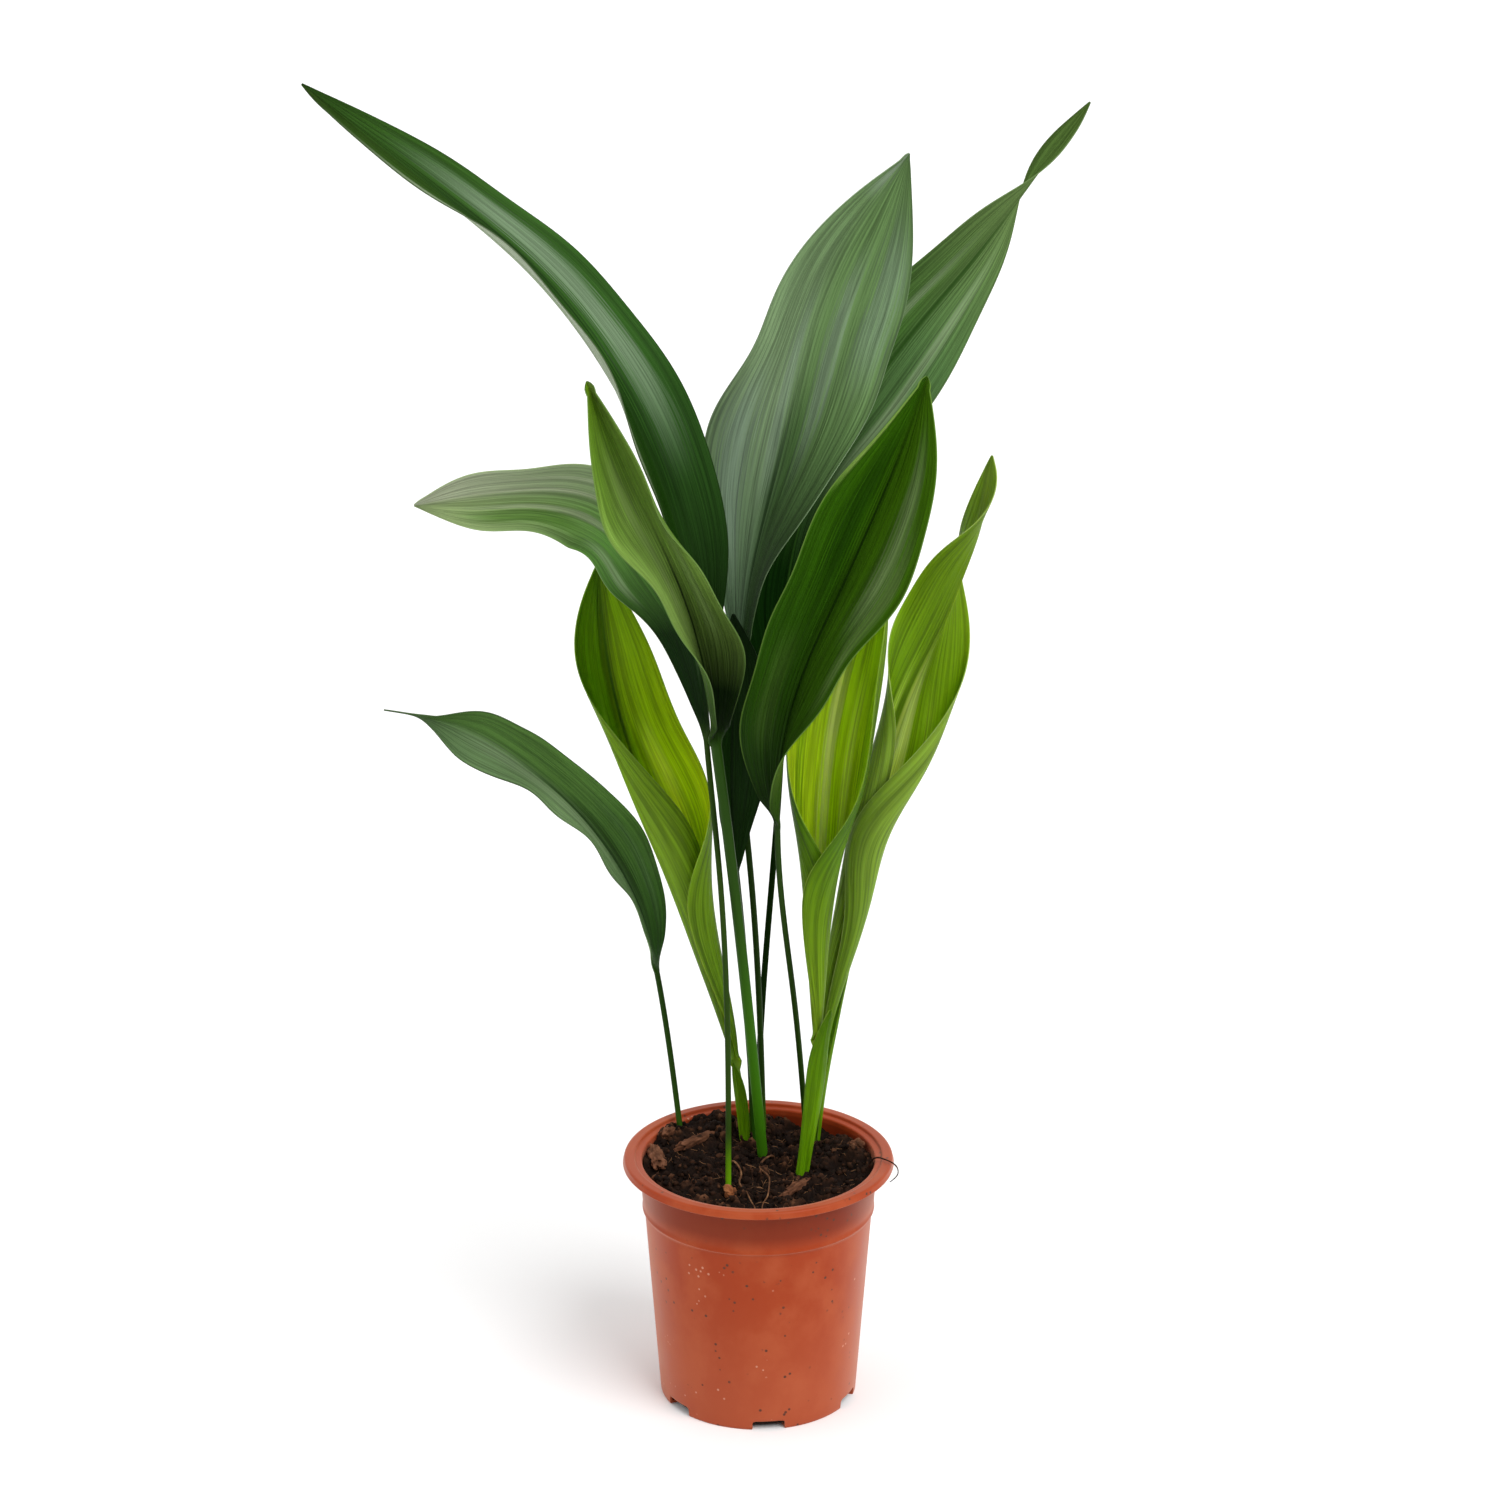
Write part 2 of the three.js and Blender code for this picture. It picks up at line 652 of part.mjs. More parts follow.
/** The pot's outline in radius and height, closed on the axis. */
function potProfile() {
  const { height, wall, floor, beadZ, ledgeDrop } = POT;
  const lip = height - POT.rimDrop;
  const outside = [
    [0, 0], [POT.baseRadius - 1, 0], [POT.baseRadius, 1], [wallRadius(beadZ / 2), beadZ / 2],
    [wallRadius(beadZ - 1.6), beadZ - 1.6], [POT.beadRadius, beadZ - 0.8], [POT.beadRadius, beadZ + 0.8],
    [POT.beadRadius - 0.3, beadZ + 1.6], [POT.collarRadius, lip - 2.4], [POT.collarRadius + 1.4, lip - 0.6],
    [POT.rimRadius - 1.6, lip], [POT.rimRadius, lip + 0.9], [POT.rimRadius, height - 1.2],
    [POT.rimRadius - 1.2, height],
  ];
  const inside = [
    [POT.mouthRadius + 0.6, height], [POT.mouthRadius, height - 0.5],
    [POT.mouthRadius - 0.3, height - ledgeDrop], [POT.collarRadius - wall + 0.5, height - ledgeDrop - 0.3],
    [POT.collarRadius - wall, height - ledgeDrop - 1.2],
    [POT.beadRadius - 0.3 - wall, beadZ + 1.6], [wallRadius(beadZ - 1.6) - wall, beadZ - 1.6],
    [wallRadius(floor) - wall, floor + 1], [wallRadius(floor) - wall - 1, floor], [0, floor],
  ];
  return [...outside, ...inside].map(([r, z]) => new THREE.Vector2(r, z));
}

/** A turned solid about +Z. */
function turned(outline, sides) {
  const geometry = new THREE.LatheGeometry(outline, sides);
  geometry.rotateX(Math.PI / 2);
  return geometry;
}

/** Block that cuts one drainage notch through the foot of the wall. */
function notchCutter(number) {
  const { notchWidth, notchHeight, notchDepth, baseRadius } = POT;
  const reach = notchDepth + 4;
  const shape = new THREE.Shape();
  shape.moveTo(-notchWidth / 2, -1);
  shape.lineTo(notchWidth / 2, -1);
  shape.lineTo(notchWidth / 2 - 1.2, notchHeight - 1.2);
  shape.lineTo(notchWidth / 2 - 2.6, notchHeight);
  shape.lineTo(-notchWidth / 2 + 2.6, notchHeight);
  shape.lineTo(-notchWidth / 2 + 1.2, notchHeight - 1.2);
  shape.closePath();
  const block = new THREE.ExtrudeGeometry(shape, { depth: reach, bevelEnabled: false });
  block.rotateX(Math.PI / 2);
  block.translate(0, -(baseRadius - notchDepth), 0);
  block.rotateZ(THREE.MathUtils.degToRad(POT.notchTurn + (360 * number) / POT.notches));
  return block;
}

function potGeometry() {
  const cutters = Array.from({ length: POT.notches }, (_, i) => notchCutter(i));
  return cut(turned(potProfile(), POT.sides), cutters);
}

// ---- the soil and what lies on it ---------------------------------------------------------

/** Height of the soil: a level bed, heaped up in places, with clods raised from it. */
function soilHeight(x, y) {
  const heaps = SOIL.mounds.map((mound) => {
    const away = Math.hypot(x - mound.x, y - mound.y) / mound.spread;
    return mound.height * Math.exp(-0.5 * away * away);
  });
  const heaped = heaps.reduce((sum, height) => sum + height, 0);
  const coarse = Math.sin(0.21 * x + 1.3 * Math.sin(0.13 * y)) * Math.sin(0.24 * y + 0.9);
  const fine = Math.sin(0.52 * x - 0.31 * y + 2) * Math.sin(0.47 * y + 0.36 * x);
  return SOIL.level + heaped + SOIL.lump * (0.7 * coarse + 0.5 * fine);
}

/** Radius of the soil at a height, a little inside the pot's wall. */
function soilRadius(z) {
  if (z > POT.beadZ) {
    const share = (z - POT.beadZ) / (POT.height - POT.ledgeDrop - POT.beadZ);
    const low = POT.beadRadius - 0.3 - POT.wall;
    const high = POT.collarRadius - POT.wall;
    return low + (high - low) * Math.min(1, share) - CLEARANCE;
  }
  return wallRadius(z) - POT.wall - CLEARANCE;
}

/** A closed bed of soil: rings of points over the top, and a plain tapered body below. */
function soilGeometry(cutters) {
  const { rings, sides } = SOIL;
  const topRadius = soilRadius(SOIL.level);
  const points = [];
  for (let i = 1; i <= rings; i += 1) {
    for (let j = 0; j < sides; j += 1) {
      const radius = (topRadius * i) / rings;
      const angle = (2 * Math.PI * (j + 0.5 * (i % 2))) / sides;
      const x = radius * Math.cos(angle);
      const y = radius * Math.sin(angle);
      points.push([x, y, soilHeight(x, y)]);
    }
  }
  const bottomZ = POT.floor + CLEARANCE;
  for (const [z, inset] of [[POT.beadZ - 2, 0.2], [bottomZ + 1, 0.2], [bottomZ, 1.2]]) {
    for (let j = 0; j < sides; j += 1) {
      const angle = (2 * Math.PI * (j + 0.5 * (rings % 2))) / sides;
      const radius = soilRadius(z) - inset;
      points.push([radius * Math.cos(angle), radius * Math.sin(angle), z]);
    }
  }
  points.push([0, 0, soilHeight(0, 0)], [0, 0, bottomZ]);
  const middle = points.length - 2;
  const bottom = points.length - 1;
  const index = [];
  const bands = points.length / sides - 1;
  for (let j = 0; j < sides; j += 1) {
    const next = (j + 1) % sides;
    index.push(middle, j, next);
    for (let i = 0; i < Math.floor(bands); i += 1) {
      const a = i * sides + j;
      const b = i * sides + next;
      const leans = i < rings - 1 && i % 2 === 1;
      if (leans) {
        index.push(a, a + sides, b, b, a + sides, b + sides);
      } else {
        index.push(a, a + sides, b + sides, a, b + sides, b);
      }
    }
    const last = Math.floor(bands) * sides;
    index.push(bottom, last + next, last + j);
  }
  const geometry = new THREE.BufferGeometry();
  geometry.setAttribute('position', new THREE.Float32BufferAttribute(points.flat(), 3));
  geometry.setIndex(index);
  return cut(geometry, cutters);
}

/** An irregular chip: a rough outline of a few corners, drawn thick and broken at its edges. */
function chipGeometry(spec, grow) {
  const [length, width, thick] = spec.size;
  const layers = [[-0.5, 0.72], [-0.1, 1], [0.3, 0.92], [0.5, 0.6]];
  const rings = layers.map(([level, spread]) => Array.from({ length: spec.corners }, (_, j) => {
    const angle = (2 * Math.PI * j) / spec.corners;
    const rough = 1 + 0.13 * Math.sin(3.1 * j + spec.turn) + 0.07 * Math.sin(5.3 * j + 9 * level);
    const x = (length / 2) * spread * rough * Math.cos(angle);
    const y = (width / 2) * spread * rough * Math.sin(angle);
    return new THREE.Vector3(x, y, thick * level);
  }));
  const geometry = prismSolid(rings);
  geometry.scale(1 + (2 * grow) / length, 1 + (2 * grow) / width, 1 + (2 * grow) / thick);
  geometry.rotateX(THREE.MathUtils.degToRad(spec.tilt));
  geometry.rotateZ(THREE.MathUtils.degToRad(spec.turn));
  geometry.translate(...spec.at);
  return geometry;
}

/** A closed solid from plain rings, one above another, with flat ends. */
function prismSolid(rings) {
  const around = rings[0].length;
  const positions = rings.flat().flatMap((p) => [p.x, p.y, p.z]);
  const top = (rings.length - 1) * around;
  const index = [];
  for (let i = 0; i < rings.length - 1; i += 1) {
    for (let j = 0; j < around; j += 1) {
      const a = i * around + j;
      const b = i * around + ((j + 1) % around);
      index.push(a, b, b + around, a, b + around, a + around);
    }
  }
  for (let j = 1; j < around - 1; j += 1) {
    index.push(0, j + 1, j, top, top + j, top + j + 1);
  }
  const geometry = new THREE.BufferGeometry();
  geometry.setAttribute('position', new THREE.Float32BufferAttribute(positions, 3));
  geometry.setIndex(index);
  return geometry;
}

/** A root: a round section drawn along a smooth curve. */
function rootGeometry(spec, grow) {
  const sides = 6;
  const radius = spec.radius + grow;
  const path = spec.path.map((p) => new THREE.Vector3(...p));
  const ends = [[path[0], path[1]], [path[path.length - 1], path[path.length - 2]]];
  ends.forEach(([end, inner]) => end.add(end.clone().sub(inner).setLength(grow)));
  const curve = new THREE.CatmullRomCurve3(path);
  const section = new THREE.Shape();
  for (let j = 0; j < sides; j += 1) {
    const angle = (2 * Math.PI * j) / sides;
    const draw = j === 0 ? 'moveTo' : 'lineTo';
    section[draw](radius * Math.cos(angle), radius * Math.sin(angle));
  }
  section.closePath();
  return new THREE.ExtrudeGeometry(section, { steps: 18, extrudePath: curve });
}

// ---- the whole plant ----------------------------------------------------------------------

const plant = new THREE.Group();

/** Adds one named piece. */
function place(name, geometry, material) {
  const mesh = new THREE.Mesh(geometry, material);
  mesh.name = name;
  plant.add(mesh);
  return mesh;
}

const OPEN_FACETS = 3;
const OPEN_STEPS = 16;
const ROLLED_FACETS = 6;
const ROLLED_STEPS = 18;

const leaves = [
  ...LEAVES.map((spec) => new Leaf(spec, OPEN_FACETS, OPEN_STEPS)),
  ...YOUNG_LEAVES.map((spec) => new Leaf(spec, ROLLED_FACETS, ROLLED_STEPS)),
];
const hosts = new Map(leaves.map((leaf) => [leaf.spec.name, leaf]));

/** The hole that a shoot stands in, wide enough for the sheath where it has one. */
function shootHole(leaf) {
  const sheath = SHEATHS.find((spec) => spec.around === leaf.spec.name);
  const radius = sheath ? sheathRadius(leaf) + SHEATH.thickness : leaf.spec.stalk;
  return stalkRod(leaf, radius + CLEARANCE);
}

place('pot', potGeometry(), FINISH.pot);
place('soil', soilGeometry([
  ...leaves.map(shootHole),
  ...CHIPS.map((spec) => chipGeometry(spec, 2 * CLEARANCE)),
  ...ROOTS.map((spec) => rootGeometry(spec, CLEARANCE)),
]), FINISH.soil);
leaves.forEach((leaf) => place(leaf.spec.name, leaf.geometry(), leaf.spec.finish));
SHEATHS.forEach((spec) => place(spec.name, sheathGeometry(spec, hosts.get(spec.around)), FINISH.sheath));
CHIPS.forEach((spec) => place(spec.name, chipGeometry(spec, 0), FINISH.bark));
ROOTS.forEach((spec) => place(spec.name, rootGeometry(spec, 0), FINISH.root));

export default plant;
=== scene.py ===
"""Potted cast iron plant: fine leaves, sheaths, peat, bark, roots and a nursery pot.

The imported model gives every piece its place. Each class below stands for one kind of piece: it
holds its sizes, works its surface out with numpy and dresses it in a procedural finish. Sizes in
the tables are millimetres in the model's own frame, and meshes are written in metres.
"""

from __future__ import annotations

import logging
import math
from dataclasses import dataclass, field
from enum import Enum

import bpy
import numpy as np
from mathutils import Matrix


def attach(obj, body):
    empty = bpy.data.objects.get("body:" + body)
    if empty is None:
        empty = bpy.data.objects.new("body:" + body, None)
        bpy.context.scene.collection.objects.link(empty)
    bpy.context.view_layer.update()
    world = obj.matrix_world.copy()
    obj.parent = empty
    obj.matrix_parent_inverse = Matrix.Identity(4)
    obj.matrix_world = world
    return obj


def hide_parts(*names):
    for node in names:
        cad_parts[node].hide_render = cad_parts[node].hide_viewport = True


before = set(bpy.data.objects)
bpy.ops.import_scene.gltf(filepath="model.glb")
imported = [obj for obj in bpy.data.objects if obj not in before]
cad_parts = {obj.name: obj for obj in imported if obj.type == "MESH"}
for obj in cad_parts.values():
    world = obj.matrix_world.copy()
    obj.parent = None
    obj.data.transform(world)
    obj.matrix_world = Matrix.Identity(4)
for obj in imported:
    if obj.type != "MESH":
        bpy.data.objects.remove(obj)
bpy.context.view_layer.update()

MM = 0.001
log = logging.getLogger("plant")

Array = np.ndarray
Socket = bpy.types.NodeSocket
Material = bpy.types.Material
Colour = tuple[float, float, float]
Stages = tuple[Colour, Colour, Colour]
Point = tuple[float, float, float]
# A value along a blade: one number, or numbers at even steps from its start to its tip.
Along = float | tuple[float, ...]


# ---- curves and noise ---------------------------------------------------------------------


class Spline:
    """Natural cubic spline through rows of values at increasing knots."""

    def __init__(self, knots: Array, values: Array) -> None:
        """Solve for the second derivatives, which are zero at both ends.

        Args:
            knots: Increasing positions, one per row of values.
            values: Values at the knots, one row each.
        """
        self.knots = np.asarray(knots, float)
        self.values = np.asarray(values, float).reshape(len(self.knots), -1)
        count = len(self.knots)
        system = np.eye(count)
        load = np.zeros_like(self.values)
        span = np.diff(self.knots)
        slope = np.diff(self.values, axis=0) / span[:, None]
        inner = np.arange(1, count - 1)
        system[inner, inner - 1] = span[:-1]
        system[inner, inner] = 2 * (span[:-1] + span[1:])
        system[inner, inner + 1] = span[1:]
        load[1:-1] = 6 * np.diff(slope, axis=0)
        self.bend = np.linalg.solve(system, load)

    def at(self, places: Array) -> Array:
        """Read the curve between the two knots about each place.

        Args:
            places: Positions along the knots.

        Returns:
            The values there, one row each.
        """
        places = np.asarray(places, float)
        last = len(self.knots) - 2
        i = np.clip(np.searchsorted(self.knots, places) - 1, 0, last)
        span = (self.knots[i + 1] - self.knots[i])[:, None]
        a = (self.knots[i + 1] - places)[:, None] / span
        b = 1 - a
        curve = ((a**3 - a) * self.bend[i] + (b**3 - b) * self.bend[i + 1]) * span**2 / 6
        return a * self.values[i] + b * self.values[i + 1] + curve


def profile(given: Along, t: Array) -> Array:
    """A value along a blade: one number, or numbers at even steps joined smoothly.

    Args:
        given: The number, or the numbers from the blade's start to its tip.
        t: Shares of the blade's length, each from 0 to 1.

    Returns:
        The value at each share.
    """
    if isinstance(given, (int, float)):
        return np.full(len(t), float(given))
    knots = np.linspace(0, 1, len(given))
    return Spline(knots, np.array(given)).at(t)[:, 0]


def chain_lengths(points: Array) -> Array:
    """Distances along a chain of points, from 0 at the first."""
    return np.concatenate([[0], np.cumsum(np.linalg.norm(np.diff(points, axis=0), axis=1))])


def ease(x: Array) -> Array:
    """0 below 0, 1 above 1, and an even S between."""
    c = np.clip(x, 0, 1)
    return c * c * (3 - 2 * c)


def dome(away: Array, reach: float, power: float) -> Array:
    """A rounded cap: one less the squared share of its reach, to a power, and 0 beyond it."""
    return np.clip(1 - (away / reach) ** 2, 0, 1) ** power


def squared_off(values: Array, power: float) -> Array:
    """Values raised to a power with their signs kept, which squares a circle for powers under 1."""
    return np.sign(values) * np.abs(values) ** power


def unit(vectors: Array) -> Array:
    """Rows scaled to length 1."""
    return vectors / np.linalg.norm(vectors, axis=-1, keepdims=True)


def there_and_back(rows: Array) -> Array:
    """Each row followed by itself in reverse, as a ring runs over a face and back under it."""
    return np.concatenate([rows, rows[:, ::-1]], 1)


def turned(degrees: float, axis: int) -> Array:
    """The matrix that turns points about one axis.

    Args:
        degrees: How far.
        axis: 0, 1 or 2 for the axis that stays.

    Returns:
        Three rows of three.
    """
    angle = math.radians(degrees)
    first, second = (axis + 1) % 3, (axis + 2) % 3
    matrix = np.eye(3)
    matrix[[first, second], [first, second]] = math.cos(angle)
    matrix[first, second] = -math.sin(angle)
    matrix[second, first] = math.sin(angle)
    return matrix


def scatter_hash(cells: Array, seed: int) -> Array:
    """A repeatable random number from 0 to 1 for each row of whole numbers.

    The row's numbers are each multiplied by a large prime, added, and stirred by shifts.

    Args:
        cells: Rows of whole numbers.
        seed: Which set of random numbers.

    Returns:
        One number for each row.
    """
    primes = np.array([374761393, 668265263, 2246822519], dtype=np.uint64)
    mixed = np.full(cells.shape[:-1], (seed * 974634777) % 2**32, dtype=np.uint64)
    for axis in range(cells.shape[-1]):
        part = (cells[..., axis].astype(np.int64) % 2**32).astype(np.uint64)
        mixed = (mixed + part * primes[axis]) & np.uint64(0xFFFFFFFF)
    mixed = ((mixed ^ (mixed >> np.uint64(13))) * np.uint64(1274126177)) & np.uint64(0xFFFFFFFF)
    mixed = (mixed ^ (mixed >> np.uint64(16))) & np.uint64(0xFFFF)
    return mixed.astype(float) / 65535


def value_noise(points: Array, seed: int) -> Array:
    """Smooth noise: random lattice values blended by an even S on each axis.

    Args:
        points: Places, one row each, in steps of the lattice.
        seed: Which noise.

    Returns:
        A value from -1 to 1 for each place.
    """
    low = np.floor(points)
    part = points - low
    blend = part * part * (3 - 2 * part)
    total = np.zeros(points.shape[0])
    for corner in range(2 ** points.shape[1]):
        offset = np.array([(corner >> axis) & 1 for axis in range(points.shape[1])])
        weight = np.prod(np.where(offset == 1, blend, 1 - blend), axis=1)
        total += weight * scatter_hash(low + offset, seed)
    return 2 * total - 1


def fractal(points: Array, octaves: int, seed: int) -> Array:
    """Layers of noise, each twice as fine and half as strong as the one before."""
    layers = [value_noise(points * 2**i, seed + i) / 2**i for i in range(octaves)]
    return sum(layers)


def cobbles(points: Array, seed: int) -> tuple[Array, Array]:
    """Distance to the nearest of scattered cell centres, one in each unit square.

    Args:
        points: Places on the plane, in cells.
        seed: Which scatter.

    Returns:
        The distance to the nearest centre, and a random number for the cell it belongs to.
    """
    low = np.floor(points)
    nearest = np.full(len(points), 9.0)
    mark = np.zeros(len(points))
    for dx in (-1, 0, 1):
        for dy in (-1, 0, 1):
            cell = low + np.array([dx, dy])
            centre = cell + np.stack([scatter_hash(cell, seed), scatter_hash(cell, seed + 1)], 1)
            away = np.linalg.norm(points - centre, axis=1)
            closer = away < nearest
            nearest = np.where(closer, away, nearest)
            mark = np.where(closer, scatter_hash(cell, seed + 2), mark)
    return nearest, mark


# ---- meshes -------------------------------------------------------------------------------


@dataclass
class Surface:
    """Vertices, faces and named values of a piece before it becomes a mesh."""

    points: Array
    faces: list[Array] = field(default_factory=list)
    marks: dict[str, Array] = field(default_factory=dict)


def grid_faces(rows: int, columns: int) -> Array:
    """Quads between neighbouring rows of a grid, joined round from the last column to the first.

    Args:
        rows: How many rows of points.
        columns: Points in a row.

    Returns:
        Four indices for each quad.
    """
    i = np.arange(rows - 1)[:, None]
    j = np.arange(columns)[None, :]
    a, b = i * columns + j, i * columns + (j + 1) % columns
    return np.stack([a, b, b + columns, a + columns], -1).reshape(-1, 4)


def folded_cap(first: int, around: int, flip: bool) -> Array:
    """Quads that close a ring whose second half lies under its first half.

    Args:
        first: Index of the ring's first point.
        around: Points in the ring.
        flip: Whether the faces look the other way.

    Returns:
        Four indices for each quad.
    """
    j = np.arange(around // 2 - 1)
    other = around - 1 - j
    quads = np.stack([j, other, other - 1, j + 1], -1) + first
    return quads[:, ::-1] if flip else quads


def fan(centre: int, ring: Array, flip: bool) -> Array:
    """Triangles from a centre point to a ring of points.

    Args:
        centre: Index of the centre point.
        ring: Indices of the ring's points, in order.
        flip: Whether the faces look the other way.

    Returns:
        Three indices for each triangle.
    """
    following = np.roll(ring, -1)
    middle = np.full(len(ring), centre)
    order = [middle, following, ring] if flip else [middle, ring, following]
    return np.stack(order, -1)


def closed_rings(rows: int, columns: int, flip: bool = False) -> list[Array]:
    """Faces of a stack of rings that is closed by fans from the two points after the last ring.

    Args:
        rows: How many rings.
        columns: Points in a ring.
        flip: Whether the faces look the other way.

    Returns:
        The quads between the rings, and the triangles at the first and the last ring.
    """
    count = rows * columns
    ring = np.arange(columns)
    quads = grid_faces(rows, columns)
    return [
        quads[:, ::-1] if flip else quads,
        fan(count, ring, not flip),
        fan(count + 1, count - columns + ring, flip),
    ]


def repeated(faces: list[Array], copies: int, points: int) -> list[Array]:
    """Faces of one small form, repeated for many copies of it.

    Args:
        faces: The faces of the first copy.
        copies: How many copies there are.
        points: Points in each copy.

    Returns:
        The faces of all the copies.
    """
    shift = (np.arange(copies) * points)[:, None, None]
    return [(f[None] + shift).reshape(-1, f.shape[1]) for f in faces]


def tube_rings(path: Array, radius: Array, sides: int, upright: Point) -> Array:
    """Rings round one path or many, from even angles on two directions square to the path.

    Args:
        path: Points along each path, in the last two axes.
        radius: The radius at each point.
        sides: Points in a ring.
        upright: A direction that no path runs along.

    Returns:
        The rings' points, with an axis of their own before the last one.
    """
    tangent = unit(np.gradient(path, axis=-2))
    side = unit(np.cross(tangent, upright))[..., None, :]
    lift = np.cross(side, tangent[..., None, :])
    angle = (2 * np.pi * np.arange(sides) / sides)[:, None]
    return path[..., None, :] + (np.cos(angle) * side + np.sin(angle) * lift) * radius[..., None, None]


def blade_surface(ring: Array, across: Array, along: Array, half_width: Array, upper: Array) -> Surface:
    """Close a blade's rings and give it the marks that its finish reads.

    Args:
        ring: Points of each ring, over the upper face and back under the lower one.
        across: The place across the blade, -1 at the left margin and 1 at the right one.
        along: Shares of the blade's length, below 0 on the stalk.
        half_width: Half the blade's width in millimetres.
        upper: 1 on the upper face and 0 on the lower one.

    Returns:
        The surface.
    """
    rows, around = ring.shape[:2]
    marks = {
        "across": across,
        "along": along,
        "rib_mm": across * half_width,
        "margin_mm": (1 - np.abs(across)) * half_width,
        "upper": upper,
    }
    faces = [
        grid_faces(rows, around),
        folded_cap(0, around, False),
        folded_cap((rows - 1) * around, around, True),
    ]
    whole = {key: np.broadcast_to(mark, (rows, around)).reshape(-1) for key, mark in marks.items()}
    return Surface(ring.reshape(-1, 3), faces, whole)


def build_piece(
    name: str,
    surface: Surface,
    material: Material,
    node: str | None = None,
    sharp_degrees: float = 180.0,
) -> None:
    """Make a smooth-shaded object at the origin from a surface in millimetres, and dress it.

    Args:
        name: The piece's name.
        surface: Its vertices, faces and named values.
        material: Its finish.
        node: The solid that the piece stands for, if it stands for one.
        sharp_degrees: Edges that turn by more than this stay crisp.
    """
    mesh = bpy.data.meshes.new(name)
    corners = np.concatenate([f.ravel() for f in surface.faces]).astype(np.int32)
    sizes = np.concatenate([np.full(len(f), f.shape[1]) for f in surface.faces]).astype(np.int32)
    mesh.vertices.add(len(surface.points))
    mesh.vertices.foreach_set("co", (surface.points * MM).astype(np.float32).ravel())
    mesh.loops.add(len(corners))
    mesh.loops.foreach_set("vertex_index", corners)
    mesh.polygons.add(len(sizes))
    starts = np.concatenate([[0], np.cumsum(sizes)[:-1]]).astype(np.int32)
    mesh.polygons.foreach_set("loop_start", starts)
    mesh.update(calc_edges=True)
    mesh.polygons.foreach_set("use_smooth", np.ones(len(sizes), dtype=bool))
    for key, values in surface.marks.items():
        layer = mesh.attributes.new(key, "FLOAT", "POINT")
        layer.data.foreach_set("value", values.astype(np.float32).ravel())
    if sharp_degrees < 180:
        mesh.set_sharp_from_angle(angle=math.radians(sharp_degrees))
    mesh.validate()
    mesh.materials.append(material)
    piece = bpy.data.objects.new(name, mesh)
    bpy.context.scene.collection.objects.link(piece)
    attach(piece, "root")
    if node:
        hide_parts(node)
    log.info("%s: %d vertices, %d faces", name, len(mesh.vertices), len(mesh.polygons))


# ---- materials ----------------------------------------------------------------------------


